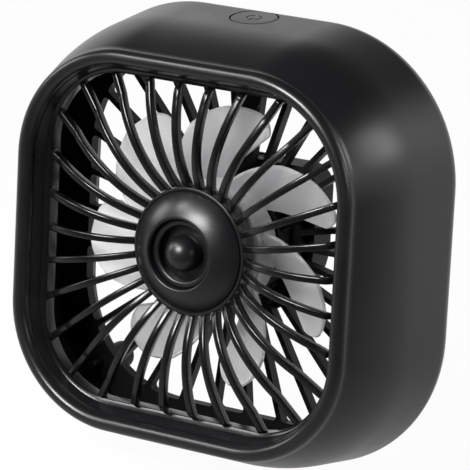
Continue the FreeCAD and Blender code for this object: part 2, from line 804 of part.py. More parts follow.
def slot_tools():
    """The guard's slots: the field between the pod and the collar, less the ribs, with every corner
    rounded by shrinking and growing the outline by the same radius. The slot over the pod stays
    closed, as the web that carries the switch's leads."""
    places = rounded_square("slot_half", "slot_corner")
    spots = [Vector(size(place[0]), size(place[1]), 0) for place in places]
    edges = [edge_between(spots[index - 1], spots[index], place[2:]) for index, place in enumerate(places)]
    field = Part.Face(Part.Wire([edge.toShape() for edge in edges]))
    start = size("slot_start")
    width = size("rear_rib")
    count = round(size("rib_count"))
    bar = Part.makeBox(size("body_width"), width, 2, Vector(start - 1, -width / 2, -1))
    bars = [turned(bar, 360 / count * index) for index in range(count)]
    field = field.cut([Part.makeCylinder(start, 2, Vector(0, 0, -1))] + bars)
    slots = []
    for face in field.Faces:
        is_web = abs(face.CenterOfMass.x) < width and face.CenterOfMass.y > 0
        if is_web:
            continue
        small = face.makeOffset2D(-size("slot_round"))
        slot = small.makeOffset2D(size("slot_round")).extrude(Vector(0, 0, size("plate_wall") + 2))
        slot.translate(Vector(0, 0, size("rear_recess") - 2))
        slots.append(slot)
    return Part.makeCompound(slots)


def make_back_cover():
    tools = document.addObject("Part::Feature", "guard_slots")
    tools.Shape = slot_tools()
    guard = document.addObject("Part::Cut", "slotted_cover")
    guard.Base = make_cover_frame()
    guard.Tool = tools
    cover = document.addObject("Part::Fuse", "rear_cover")
    cover.Base = guard
    cover.Tool = make_pod()
    finish(cover)


# ---------------------------------------------------------------- the motor and the impeller

def make_motor():
    """A flat brushed motor: a steel can with a bush in its nose, an end cap with brushes and two
    terminals, a ring magnet in two halves, and a three-tooth armature on the shaft."""
    can = new_body("motor_can")
    nose = "can_top + nose_stand"
    turn(can, [
        ("bush_radius", "can_top - can_wall"),
        ("can_radius - can_wall", "can_top - can_wall"),
        ("can_radius - can_wall", "can_base"),
        ("can_radius", "can_base"),
        ("can_radius", "can_top"),
        ("nose_radius", "can_top"),
        ("nose_radius", nose),
        ("bush_radius", nose),
    ])
    finish(can)
    cap = new_body("motor_end_cap")
    fit = "can_radius - can_wall - fit_gap"
    turn(cap, [
        ("bush_radius", "can_base"),
        (fit, "can_base"),
        (fit, "can_base + cap_disc"),
        ("bush_radius", "can_base + cap_disc"),
    ])
    for sign in ("", "-"):
        slit = outline(cap, "can_base - 1", box_outline(
            f"{sign}terminal_place", "0", "terminal_wall / 2", "terminal_width / 2"))
        pocket(cap, slit, "cap_disc + 2")
    finish(cap)
    for label, base in (("front_bush", "can_top + nose_stand - bush_length"), ("rear_bush", "can_base")):
        bush = new_body(label)
        turn(bush, [
            ("shaft_radius + running_gap", base),
            ("bush_radius", base),
            ("bush_radius", f"{base} + bush_length"),
            ("shaft_radius + running_gap", f"{base} + bush_length"),
        ])
        finish(bush)
    shaft = new_body("motor_shaft")
    turn(shaft, [
        ("0", "can_base + shaft_clear"),
        ("shaft_radius", "can_base + shaft_clear"),
        ("shaft_radius", "shaft_top"),
        ("0", "shaft_top"),
    ])
    finish(shaft)


def ring_piece(inner, outer, low, high, sweep=360.0):
    """A ring, or an arc of one that is centred on +X."""
    corners = [(inner, low), (outer, low), (outer, high), (inner, high), (inner, low)]
    profile = Part.Face(Part.makePolygon([Vector(radius, 0, height) for radius, height in corners]))
    profile.rotate(Vector(), AXIAL, -sweep / 2)
    return profile.revolve(Vector(), AXIAL, sweep)


def make_motor_insides():
    """The magnets, the laminated core with its coils, the commutator, the brushes and terminals."""
    outer = size("can_radius - can_wall - fit_gap / 2")
    low = size("core_base - magnet_over")
    high = size("core_base + core_length + magnet_over")
    magnet = ring_piece(outer - size("magnet_wall"), outer, low, high, size("magnet_sweep"))
    set_piece("motor_magnets", Part.makeCompound([turned(magnet, 90), turned(magnet, 270)]))
    make_armature()
    make_commutator()
    make_brushes()


def make_armature():
    """Three teeth with round shoes on a nave, and a coil round each tooth."""
    base = size("core_base")
    length = size("core_length")
    reach = size("core_radius")
    tooth = size("core_tooth")
    gap = size("fit_gap")
    shoe = ring_piece(size("core_radius - shoe_wall"), reach, base, base + length, size("shoe_sweep"))
    arm = Part.makeBox(size("core_radius - shoe_wall / 2"), tooth, length, Vector(0, -tooth / 2, base))
    start = size("core_nave + coil_gap")
    half = size("core_tooth / 2 + coil_wall")
    end = size("coil_round")
    corner = Vector(start, -half, base - end)
    coil = Part.makeBox(size("coil_reach") - start, 2 * half, length + 2 * end, corner)
    across = [edge for edge in coil.Edges if edge.BoundBox.XLength < gap]
    coil = coil.makeFillet(size("coil_round"), across)
    hole = Part.makeBox(reach, tooth + gap, length + gap, Vector(0, -(tooth + gap) / 2, base - gap / 2))
    coil = coil.cut(hole)
    core = Part.makeCylinder(size("core_nave"), length, Vector(0, 0, base))
    for angle in THIRDS:
        core = core.fuse(turned(arm, angle)).fuse(turned(shoe, angle))
    core = core.cut(Part.makeCylinder(size("press_bore"), length, Vector(0, 0, base)))
    set_piece("armature_core", core.removeSplitter())
    set_piece("armature_windings", Part.makeCompound([turned(coil, angle) for angle in THIRDS]))


def make_commutator():
    top = size("core_base - fit_gap")
    low = top - size("commutator_length")
    set_piece("commutator", ring_piece(size("press_bore"), size("commutator_radius"), low, top))


def make_brushes():
    """Two terminals that pass through the end cap, and a leaf brush from each to the commutator."""
    wall = size("terminal_wall - fit_gap")
    width = size("terminal_width - fit_gap")
    board = size("board_low")
    disc = size("can_base + cap_disc")
    inner = size("terminal_place") - wall / 2
    post = Part.makeBox(wall, width, disc + size("terminal_reach") - board, Vector(inner, -width / 2, board))
    set_piece("motor_terminals", Part.makeCompound([post, turned(post, 180)]))
    start = size("commutator_radius + brush_gap")
    half = size("brush_width / 2")
    arm = Part.makeBox(inner - start, 2 * half, size("brush_wall"), Vector(start, -half, disc))
    tip = Part.makeBox(size("brush_tip"), 2 * half, size("brush_height"), Vector(start, -half, disc))
    brush = arm.fuse(tip).removeSplitter()
    set_piece("motor_brushes", Part.makeCompound([brush, turned(brush, 180)]))


def blade_face():
    """The blade as one surface: its front and back edges sweep back as they run out, and each
    radius joins them by a helix. The tip is rounded off towards both edges."""
    root = size("hub_radius - blade_sink")
    tip = size("blade_tip")
    front = size("blade_front")
    back = size("blade_back")
    rows = []
    for across in range(BLADE_ROWS):
        down = across / (BLADE_ROWS - 1)
        reach = tip - size("tip_round") * abs(2 * down - 1) ** TIP_POWER
        row = []
        for out in range(BLADE_PLACES):
            radius = root + (reach - root) * out / (BLADE_PLACES - 1)
            beyond = radius - size("hub_radius")
            lead = size("lead_angle") - size("lead_sweep") * beyond
            trail = size("trail_angle") - size("trail_sweep") * beyond + size("trail_curl") * beyond ** 2
            angle = math.radians(lead + (trail - lead) * down)
            height = front + (back - front) * down
            row.append(Vector(radius * math.cos(angle), radius * math.sin(angle), height))
        rows.append(row)
    surface = Part.BSplineSurface()
    surface.interpolate(rows)
    return surface.toShape()


def make_impeller():
    hub = new_body("impeller_hub")
    turn(hub, [
        ("press_bore", "hub_top - hub_wall"),
        ("press_bore", "hub_low + nave_lift"),
        ("nave_radius", "hub_low + nave_lift"),
        ("nave_radius", "hub_top - hub_wall"),
        ("hub_radius - hub_wall", "hub_top - hub_wall"),
        ("hub_radius - hub_wall", "hub_low"),
        ("hub_radius", "hub_low"),
        ("hub_radius", "hub_top - hub_round"),
        ("hub_radius - hub_round", "hub_top", "hub_round"),
        ("0", "hub_top"),
        ("0", "hub_top - hub_wall"),
    ])
    face = blade_face()
    blade = face.extrude(Vector(0, 0, size("blade_wall")))
    count = round(size("blade_count"))
    blades = [turned(blade, 360 / count * index) for index in range(count)]
    ring = document.addObject("Part::Feature", "impeller_blades")
    ring.Shape = Part.makeCompound(blades)
    impeller = document.addObject("Part::Fuse", "impeller")
    impeller.Base = hub
    impeller.Tool = ring
    finish(impeller)


# ---------------------------------------------------------------- the motor cover and what it holds

def cover_outline(shrink):
    """The motor cover's outline: a half round about the fan axis below, a square top with round
    corners above, drawn a wall smaller where it is the inside."""
    half = f"(cover_half - {shrink})"
    top = f"(cover_top - {shrink})"
    corner = f"(cover_corner - {shrink})"
    return [
        (half, "0", half),
        (half, f"{top} - {corner}"),
        (f"{half} - {corner}", top, corner),
        (f"{corner} - {half}", top),
        (f"-{half}", f"{top} - {corner}", corner),
        (f"-{half}", "0"),
        ("0", f"-{half}", half),
    ]


def make_motor_cover():
    """A cup over the back of the motor and the circuit board, with a mouth for the socket."""
    body = new_body("motor_cover")
    outer = outline(body, "cover_inset", cover_outline("0"))
    block = pad(body, outer, "rear_recess - cover_inset")
    block.recompute(True)
    back = min(block.Shape.Faces, key=lambda face: face.CenterOfMass.z)
    number = [face.isSame(back) for face in block.Shape.Faces].index(True) + 1
    edge = body.newObject("PartDesign::Fillet", "motor_cover_edge")
    edge.Base = (block, [f"Face{number}"])
    edge.setExpression("Radius", formula("cover_round"))
    inner = outline(body, "cover_inset + cover_wall", cover_outline("cover_wall"))
    pocket(body, inner, "rear_recess")
    low = "board_low - usb_height - 2 * fit_gap"
    mouth = outline(body, low, [
        ("-usb_width / 2 - 2 * fit_gap", "cover_top - cover_wall * 2"),
        ("usb_width / 2 + 2 * fit_gap", "cover_top - cover_wall * 2"),
        ("usb_width / 2 + 2 * fit_gap", "cover_top + 1"),
        ("-usb_width / 2 - 2 * fit_gap", "cover_top + 1"),
    ])
    pocket(body, mouth, "usb_height + 3 * fit_gap")
    for place in boss_places():
        stick(body, "Subtractive", "strip_screw + screw_gap", "cover_wall + 2", place, "cover_inset - 1")
    finish(body)


def boss_places():
    """The four screw places around the pod, as formulas."""
    places = []
    for across in ("", "-"):
        for upward in ("", "-"):
            side_place = f"{across}boss_circle * cos(boss_angle * 1 deg)"
            places.append((side_place, f"{upward}boss_circle * sin(boss_angle * 1 deg)"))
    return places


def make_circuit_board():
    """The board behind the motor: round below, with a tab at the top that carries the socket."""
    body = new_body("circuit_board")
    round_part = draw_circle(new_sketch(body, "XY_Plane", "board_low"), "board_radius")
    pad(body, round_part, "board_wall")
    tab = outline(body, "board_low", box_outline(
        "0", "board_top / 2", "board_tab", "board_top / 2"))
    pad(body, tab, "board_wall")
    for sign in ("", "-"):
        slit = outline(body, "board_low - 1", box_outline(
            f"{sign}terminal_place", "0", "terminal_wall / 2", "terminal_width / 2"))
        pocket(body, slit, "board_wall + 2")
    finish(body)
    socket = new_body("usb_socket")
    top = "cover_top - 3 * fit_gap"
    shell = outline(socket, "board_low - usb_height", [
        ("-usb_width / 2", f"{top} - usb_length"),
        ("usb_width / 2", f"{top} - usb_length"),
        ("usb_width / 2", top),
        ("-usb_width / 2", top),
    ])
    shell = pad(socket, shell, "usb_height")
    shell.recompute(True)
    corners = [f"Edge{index}" for index, edge in enumerate(shell.Shape.Edges, start=1)
               if abs(edge.Length - size("usb_length")) < 0.001]
    rounding = socket.newObject("PartDesign::Fillet", "usb_corner")
    rounding.Base = (shell, corners)
    rounding.setExpression("Radius", formula("usb_height * 0.4"))
    mouth = outline(socket, "board_low - usb_height + usb_shell", [
        ("-usb_width / 2 + 2 * usb_shell", f"{top} - usb_length + 3 * usb_shell"),
        ("usb_width / 2 - 2 * usb_shell", f"{top} - usb_length + 3 * usb_shell"),
        ("usb_width / 2 - 2 * usb_shell", f"{top} + 1"),
        ("-usb_width / 2 + 2 * usb_shell", f"{top} + 1"),
    ])
    pocket(socket, mouth, "usb_height - 2 * usb_shell")
    tongue = outline(socket, "board_low - usb_height / 2 - usb_shell", [
        ("-usb_width / 4", f"{top} - usb_length + 2 * usb_shell"),
        ("usb_width / 4", f"{top} - usb_length + 2 * usb_shell"),
        ("usb_width / 4", f"{top} - 1"),
        ("-usb_width / 4", f"{top} - 1"),
    ])
    pad(socket, tongue, "2 * usb_shell")
    finish(socket)


# ---------------------------------------------------------------- the button and its switch

def make_button():
    """A round button flush with the sloping top wall. Its flange stops it under the wall, and it
    presses the plunger of a low switch on a small board that hangs from two posts. These pieces
    are modelled along the wall's normal, with zero at the outer surface."""
    button = new_body("power_button")
    turn(button, [
        ("0", "-flange_low"),
        ("button_radius + button_gap + button_stop", "-flange_low"),
        ("button_radius + button_gap + button_stop", "-flange_top"),
        ("button_radius", "-flange_top"),
        ("button_radius", "-button_edge"),
        ("button_radius - button_edge", "0", "button_edge"),
        ("0", "0"),
    ])
    finish(button, tilted=True)
    plunger = new_body("switch_plunger")
    turn(plunger, [
        ("0", "-switch_top - plunger_sink"),
        ("plunger_radius", "-switch_top - plunger_sink"),
        ("plunger_radius", "-flange_low"),
        ("0", "-flange_low"),
    ])
    finish(plunger, tilted=True)
    body = new_body("switch_body")
    block = outline(body, "-strip_top", box_outline("0", "0", "switch_half", "switch_half"))
    pad(body, block, "switch_wall")
    hole = draw_circle(new_sketch(body, "XY_Plane", "-switch_top"), "plunger_radius + fit_gap / 2")
    pocket(body, hole, "switch_wall - switch_floor", upward=False)
    finish(body, tilted=True)
    board = new_body("switch_board")
    strip = outline(board, "-strip_top - strip_wall", box_outline("0", "0", "strip_half", "strip_depth"))
    pad(board, strip, "strip_wall")
    hole = "strip_screw + screw_gap"
    for place in ("strip_post", "-strip_post"):
        stick(board, "Subtractive", hole, "strip_wall + 2", (place, "0"), "-strip_top - strip_wall - 1")
    finish(board, tilted=True)


# ---------------------------------------------------------------- the screws

def screw(head_radius, head_height, shank_radius, shank_length):
    """A screw that points along +Z from the face under its head, with a cross in the head."""
    taper = size("head_taper")
    width = size("cross_width")
    head = Part.makeCone(head_radius - taper, head_radius, head_height, Vector(0, 0, -head_height))
    corner = Vector(-head_radius / 2, -width / 2, -head_height)
    cross = Part.makeBox(head_radius, width, size("cross_depth"), corner)
    head = head.cut(cross).cut(turned(cross, 90))
    return head.fuse(Part.makeCylinder(shank_radius, shank_length))


def make_screws():
    corner = screw(size("screw_head / 2"), size("head_height"), size("screw_shank / 2"), size("shank_reach"))
    place = size(post_place())
    corner.translate(Vector(place, place, size("rear_recess")))
    set_piece("corner_screws", Part.makeCompound([turned(corner, 90 * index) for index in range(4)]))
    small = screw(size("strip_head"), size("strip_head_wall"), size("strip_screw"), size("strip_reach"))
    cover = []
    for across, upward in boss_places():
        copy = small.copy()
        copy.translate(Vector(size(across), size(upward), size("cover_inset")))
        cover.append(copy)
    set_piece("cover_screws", Part.makeCompound(cover))
    strip = []
    for sign in (1, -1):
        copy = small.copy()
        copy.translate(Vector(sign * size("strip_post"), 0, -size("strip_top + strip_wall")))
        strip.append(copy)
    set_piece("switch_screws", Part.makeCompound(strip), tilted=True)


make_shell()
make_bezel()
make_grille()
make_hub_cap()
make_back_cover()
make_motor_cover()
make_circuit_board()
make_motor()
make_motor_insides()
make_impeller()
make_button()
make_screws()

document.recompute()
for item in document.Objects:
    if "Invalid" in item.State or "Error" in item.State:
        raise RuntimeError(f"{item.Name} did not compute: {item.State}")
os.makedirs("parts", exist_ok=True)
for node in NODES:
    if node.Shape.isNull() or not node.Shape.isValid():
        raise RuntimeError(f"{node.Label} has no valid shape")
    node.Shape.exportStep(f"parts/{node.Label}.step")
    print(f"{node.Label}: {len(node.Shape.Solids)} solid(s), {node.Shape.Volume:.1f} mm3")
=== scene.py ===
# %% [markdown]
# # A small square desk fan
# The fan is a square black housing with round corners. A bead runs round its front, and inside
# the bead a funnel-shaped bezel leads down to a domed guard of thirty straight ribs. A cap covers
# the ribs' roots, a grey see-through impeller turns behind them, and a round push button sits on
# top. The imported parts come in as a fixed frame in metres: +Z is up and the guard faces -Y.

# %% The frame and the tools
import math

import bmesh
import bpy
import numpy as np
from mathutils import Matrix, Vector


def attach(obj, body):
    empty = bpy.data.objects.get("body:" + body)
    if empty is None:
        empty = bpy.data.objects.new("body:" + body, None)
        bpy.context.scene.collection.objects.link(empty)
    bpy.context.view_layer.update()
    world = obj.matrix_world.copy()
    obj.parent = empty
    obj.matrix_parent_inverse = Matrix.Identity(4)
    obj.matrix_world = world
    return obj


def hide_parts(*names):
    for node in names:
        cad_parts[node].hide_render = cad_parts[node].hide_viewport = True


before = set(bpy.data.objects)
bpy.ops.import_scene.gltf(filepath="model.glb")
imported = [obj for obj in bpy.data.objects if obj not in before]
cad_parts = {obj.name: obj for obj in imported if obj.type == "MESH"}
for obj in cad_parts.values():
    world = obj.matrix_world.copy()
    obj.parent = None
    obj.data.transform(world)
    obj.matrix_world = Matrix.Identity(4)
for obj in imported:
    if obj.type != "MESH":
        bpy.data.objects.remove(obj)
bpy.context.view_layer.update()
MM = 0.001

# %% [markdown]
# ## The camera
# A long lens far from the fan keeps its sides nearly parallel, as in a studio. The camera stands
# to the right of the guard and a little above it, so that the right wall and the top both show.
# It rolls by a few degrees, because the fan rests on the taper of its lower wall and nods forward.

# %% Camera
AZIMUTH = math.radians(31.97)
ELEVATION = math.radians(13.12)
ROLL = math.radians(2.90)
DISTANCE = 0.8567
AIM = Vector((0.00154, -0.00126, 0.0553))
SENSOR, LENS, SHIFT = 36.0, 282.5, (0.0256, -0.0056)
NEAREST = 0.01


def aimed_camera(aim, azimuth, elevation, roll, distance):
    """The camera's turn and place. Its back axis points from the aim to the camera; the right axis
    lies in the floor's plane, and the up axis is back x right; then right and up turn together by
    the roll."""
    level = math.cos(elevation)
    back = Vector((math.sin(azimuth) * level, -math.cos(azimuth) * level, math.sin(elevation)))
    right = Vector((math.cos(azimuth), math.sin(azimuth), 0))
    up = back.cross(right)
    across = right * math.cos(roll) + up * math.sin(roll)
    upward = up * math.cos(roll) - right * math.sin(roll)
    place = aim + back * distance
    return Matrix((across, upward, back)).transposed().to_4x4(), place


camera_turn, camera_place = aimed_camera(AIM, AZIMUTH, ELEVATION, ROLL, DISTANCE)
camera_data = bpy.data.cameras.new("camera")
camera_data.sensor_width = SENSOR
camera_data.lens = LENS
camera_data.shift_x, camera_data.shift_y = SHIFT
camera_data.clip_start = NEAREST
camera = bpy.data.objects.new("camera", camera_data)
camera.matrix_world = Matrix.Translation(camera_place) @ camera_turn
bpy.context.scene.collection.objects.link(camera)
bpy.context.scene.camera = camera
print("camera at", [round(value, 3) for value in camera_place])

# %% [markdown]
# ## Floor, world and lamps
# The fan stands on a plain pale floor that the camera sees as nearly white. Black plastic has
# little colour of its own, so what we see on it is mostly the room: a bright horizon, a darker
# ceiling and a few large soft lamps draw its edges.

# %% Helpers for node trees
def link_up(tree, pairs):
    """Joins sockets, each pair as (output, input)."""
    for output, entry in pairs:
        tree.links.new(output, entry)


def new_tree(name):
    """A material with an empty node tree and its output node."""
    material = bpy.data.materials.new(name)
    material.use_nodes = True
    tree = material.node_tree
    tree.nodes.clear()
    print("material:", name)
    return material, tree, tree.nodes.new("ShaderNodeOutputMaterial")


def math_node(tree, operation, second=None):
    """A math node, its second input set where a number is given."""
    node = tree.nodes.new("ShaderNodeMath")
    node.operation = operation
    if second is not None:
        node.inputs[1].default_value = second
    return node


def range_node(tree, source=(0, 1), target=(0, 1), kind="LINEAR"):
    """A node that maps the source's (low, high) to the target's, in a straight line or eased."""
    node = tree.nodes.new("ShaderNodeMapRange")
    node.interpolation_type = kind
    for side, ends in (("From", source), ("To", target)):
        for end, value in zip(("Min", "Max"), ends):
            node.inputs[f"{side} {end}"].default_value = value
    return node


# %% Floor
FLOOR_HALF, FLOOR_GREY, FLOOR_GLOW = 6.0, 0.70, 0.965
GLOW_SLANT, GLOW_PLACES, GLOW_STRENGTHS = -0.6, (-0.20, 0.09), (0.03, 0.84)
FAR_DISTANCES, FAR_STRENGTHS = (0.45, 1.1), (0.0, 0.5)


def make_floor(half):
    """A flat square at the fan's lowest point. Seen straight on it is mostly its own even glow with
    a little lit surface, so its shadow stays. A reflection meets a glow that rises with Y - 0.6 X,
    from the front right of the room to its back left, or the far floor's, whichever is brighter.
    Every other ray meets a matt floor."""
    mesh = bpy.data.meshes.new("floor")
    corners = [(-half, -half, 0), (half, -half, 0), (half, half, 0), (-half, half, 0)]
    mesh.from_pydata(corners, [], [(0, 1, 2, 3)])
    floor = bpy.data.objects.new("floor", mesh)
    bpy.context.scene.collection.objects.link(floor)
    material, tree, output = new_tree("floor")
    matt = tree.nodes.new("ShaderNodeBsdfDiffuse")
    matt.inputs["Color"].default_value = (FLOOR_GREY, FLOOR_GREY, FLOOR_GREY, 1)
    glow = tree.nodes.new("ShaderNodeEmission")
    glow.inputs["Strength"].default_value = 1.0
    path = tree.nodes.new("ShaderNodeLightPath")
    share = math_node(tree, "MULTIPLY", FLOOR_GLOW)
    seen = tree.nodes.new("ShaderNodeMixShader")
    coordinate = tree.nodes.new("ShaderNodeTexCoord")
    split = tree.nodes.new("ShaderNodeSeparateXYZ")
    slant = math_node(tree, "MULTIPLY_ADD", GLOW_SLANT)
    rise = range_node(tree, GLOW_PLACES, GLOW_STRENGTHS, "SMOOTHSTEP")
    distance = tree.nodes.new("ShaderNodeVectorMath")
    distance.operation = "LENGTH"
    far = range_node(tree, FAR_DISTANCES, FAR_STRENGTHS, "SMOOTHSTEP")
    brighter = math_node(tree, "MAXIMUM")
    mirrored = tree.nodes.new("ShaderNodeEmission")
    reflected = tree.nodes.new("ShaderNodeMixShader")
    link_up(tree, [
        (path.outputs["Is Camera Ray"], share.inputs[0]),
        (share.outputs[0], seen.inputs["Fac"]),
        (matt.outputs[0], seen.inputs[1]),
        (glow.outputs[0], seen.inputs[2]),
        (coordinate.outputs["Object"], split.inputs[0]),
        (split.outputs["X"], slant.inputs[0]),
        (split.outputs["Y"], slant.inputs[2]),
        (slant.outputs[0], rise.inputs["Value"]),
        (coordinate.outputs["Object"], distance.inputs[0]),
        (distance.outputs["Value"], far.inputs["Value"]),
        (rise.outputs["Result"], brighter.inputs[0]),
        (far.outputs["Result"], brighter.inputs[1]),
        (brighter.outputs[0], mirrored.inputs["Strength"]),
        (path.outputs["Is Glossy Ray"], reflected.inputs["Fac"]),
        (seen.outputs[0], reflected.inputs[1]),
        (mirrored.outputs[0], reflected.inputs[2]),
        (reflected.outputs[0], output.inputs["Surface"]),
    ])
    mesh.materials.append(material)


make_floor(FLOOR_HALF)

# %% World
BACK_WALL, FRONT_WALL, CEILING = 1.20, 0.07, 0.06
WALL_PLACES, CLIMB_PLACES = (-0.2, 0.6), (0.44, 0.62)


def make_world(back, front, ceiling):
    """A plain studio: white to the camera and through clear plastic. Every other ray meets a grey
    that goes from the front wall's strength to the back wall's along Y, and fades to the ceiling's
    as the ray climbs: strength = ceiling + (wall - ceiling) * (1 - climb)."""
    world = bpy.data.worlds.new("studio")
    bpy.context.scene.world = world
    world.use_nodes = True
    tree = world.node_tree
    tree.nodes.clear()
    output = tree.nodes.new("ShaderNodeOutputWorld")
    coordinate = tree.nodes.new("ShaderNodeTexCoord")
    split = tree.nodes.new("ShaderNodeSeparateXYZ")
    wall = range_node(tree, WALL_PLACES, (front, back), "SMOOTHSTEP")
    climb = range_node(tree, CLIMB_PLACES, kind="SMOOTHSTEP")
    room = tree.nodes.new("ShaderNodeMix")
    room.data_type = "FLOAT"
    room.inputs["B"].default_value = ceiling
    grey = tree.nodes.new("ShaderNodeBackground")
    white = tree.nodes.new("ShaderNodeBackground")
    white.inputs["Color"].default_value = (1, 1, 1, 1)
    path = tree.nodes.new("ShaderNodeLightPath")
    either = math_node(tree, "MAXIMUM")
    mix = tree.nodes.new("ShaderNodeMixShader")
    link_up(tree, [
        (coordinate.outputs["Generated"], split.inputs[0]),
        (split.outputs["Y"], wall.inputs["Value"]),
        (split.outputs["Z"], climb.inputs["Value"]),
        (climb.outputs["Result"], room.inputs["Factor"]),
        (wall.outputs["Result"], room.inputs["A"]),
        (room.outputs["Result"], grey.inputs["Strength"]),
        (path.outputs["Is Camera Ray"], either.inputs[0]),
        (path.outputs["Is Transmission Ray"], either.inputs[1]),
        (either.outputs[0], mix.inputs["Fac"]),
        (grey.outputs[0], mix.inputs[1]),
        (white.outputs[0], mix.inputs[2]),
        (mix.outputs[0], output.inputs["Surface"]),
    ])


make_world(BACK_WALL, FRONT_WALL, CEILING)

# %% Lamps
FAN_MIDDLE = Vector((0.0, 0.0, 0.052))


def soft_lamp(name, place, across, power):
    """A rectangular area lamp at a place in metres, turned so that its -Z axis points at the fan's
    middle. Across is its width and height in metres, and the power is in watts."""
    data = bpy.data.lights.new(name, "AREA")
    data.shape = "RECTANGLE"
    data.size, data.size_y = across
    data.energy = power
    lamp = bpy.data.objects.new(name, data)
    turn = (FAN_MIDDLE - Vector(place)).to_track_quat("-Z", "Y")
    lamp.matrix_world = Matrix.Translation(place) @ turn.to_matrix().to_4x4()
    bpy.context.scene.collection.objects.link(lamp)


soft_lamp("key", (-0.12, -0.80, 0.57), (0.40, 0.28), 14.0)
soft_lamp("over", (-0.49, -0.50, 0.70), (0.18, 0.18), 2.4)
soft_lamp("left", (-0.88, -0.28, 0.41), (0.30, 0.36), 2.2)
soft_lamp("side", (0.72, 0.37, 0.46), (0.24, 0.30), 1.15)
soft_lamp("right", (0.92, -0.06, 0.32), (0.24, 0.24), 0.9)

# %% [markdown]
# ## Finishes
# Moulded ABS is never quite smooth: the mould leaves a fine even grain that spreads each
# reflection. The grain is a small bump from a noise in millimetres, and a second, wide noise
# lets the gloss and the shade drift a little, as on a handled surface.

# %% Noise in millimetres
PER_METRE = 1000


def noise_node(tree, grain, detail=2.0, stretch=1):
    """A noise whose grain is so many millimetres wide. Object coordinates times 1000 give
    millimetres; a stretch divides those along X, so that the grain is so much longer there."""
    coordinate = tree.nodes.new("ShaderNodeTexCoord")
    scale = tree.nodes.new("ShaderNodeMapping")
    scale.inputs["Scale"].default_value = (PER_METRE / stretch, PER_METRE, PER_METRE)
    noise = tree.nodes.new("ShaderNodeTexNoise")
    noise.inputs["Scale"].default_value = 1.0 / grain
    noise.inputs["Detail"].default_value = detail
    link_up(tree, [
        (coordinate.outputs["Object"], scale.inputs["Vector"]),
        (scale.outputs[0], noise.inputs["Vector"]),
    ])
    return noise


# %% Moulded plastic
WIDE_GRAIN, WIDE_MIDST = 12.5, (0.3, 0.7)


def moulded(name, dark, light, roughness, grain=0.30, depth=0.010, gloss_drift=0.05,
            specular=0.5, transmission=0.0):
    """Plastic with a moulded grain. A fine noise drives the bump, its grain and depth given in
    millimetres; a wide noise mixes two shades and moves the roughness by the drift, down and up."""
    material, tree, output = new_tree(name)
    shader = tree.nodes.new("ShaderNodeBsdfPrincipled")
    fine = noise_node(tree, grain, detail=3.0)
    wide = noise_node(tree, WIDE_GRAIN, detail=4.0)
    shade = tree.nodes.new("ShaderNodeMix")
    shade.data_type = "RGBA"
    shade.inputs["A"].default_value = (*dark, 1)
    shade.inputs["B"].default_value = (*light, 1)
    rough = range_node(tree, WIDE_MIDST, (roughness - gloss_drift, roughness + gloss_drift))
    bump = tree.nodes.new("ShaderNodeBump")
    bump.inputs["Distance"].default_value = depth * MM
    shader.inputs["Specular IOR Level"].default_value = specular
    shader.inputs["Transmission Weight"].default_value = transmission
    link_up(tree, [
        (wide.outputs["Fac"], shade.inputs["Factor"]),
        (shade.outputs["Result"], shader.inputs["Base Color"]),
        (wide.outputs["Fac"], rough.inputs["Value"]),
        (rough.outputs["Result"], shader.inputs["Roughness"]),
        (fine.outputs["Fac"], bump.inputs["Height"]),
        (bump.outputs["Normal"], shader.inputs["Normal"]),
        (shader.outputs[0], output.inputs["Surface"]),
    ])
    return material


def dull_mark(material, gloss=0.5, dull=0.06):
    """Inside the piece's own mark the plastic is left dull, so that the mark reads dark against the
    sheen round it: the specular level goes from gloss to dull as the mark attribute goes 0 to 1."""
    tree = material.node_tree
    shader = next(node for node in tree.nodes if node.type == "BSDF_PRINCIPLED")
    mark = tree.nodes.new("ShaderNodeAttribute")
    mark.attribute_name = "mark"
    level = range_node(tree, target=(gloss, dull))
    link_up(tree, [
        (mark.outputs["Fac"], level.inputs["Value"]),
        (level.outputs["Result"], shader.inputs["Specular IOR Level"]),
    ])


# %% The plastics, each with its two shades and its roughness
black_shell = moulded("black_shell", (0.005, 0.005, 0.006), (0.007, 0.007, 0.008), 0.30,
                      grain=0.45, depth=0.004, gloss_drift=0.03)
black_guard = moulded("black_guard", (0.003, 0.003, 0.003), (0.004, 0.004, 0.004), 0.22,
                      specular=0.38)
black_cap = moulded("black_cap", (0.004, 0.004, 0.005), (0.006, 0.006, 0.007), 0.34, depth=0.003)
black_inner = moulded("black_inner", (0.003, 0.003, 0.003), (0.005, 0.005, 0.005), 0.50,
                      specular=0.18)
black_button = moulded("black_button", (0.012, 0.012, 0.013), (0.018, 0.018, 0.019), 0.34)
dull_mark(black_button)
smoky_grey = moulded("smoky_grey", (0.93, 0.93, 0.94), (0.96, 0.96, 0.97), 0.50, depth=0.004,
                     transmission=0.72)
black_nylon = moulded("black_nylon", (0.010, 0.010, 0.010), (0.018, 0.018, 0.018), 0.5)
milky_nylon = moulded("milky_nylon", (0.68, 0.67, 0.62), (0.78, 0.77, 0.72), 0.45)
green_board = moulded("green_board", (0.010, 0.075, 0.035), (0.016, 0.110, 0.050), 0.35, grain=0.8)
ferrite = moulded("ferrite", (0.030, 0.029, 0.028), (0.050, 0.048, 0.046), 0.60)


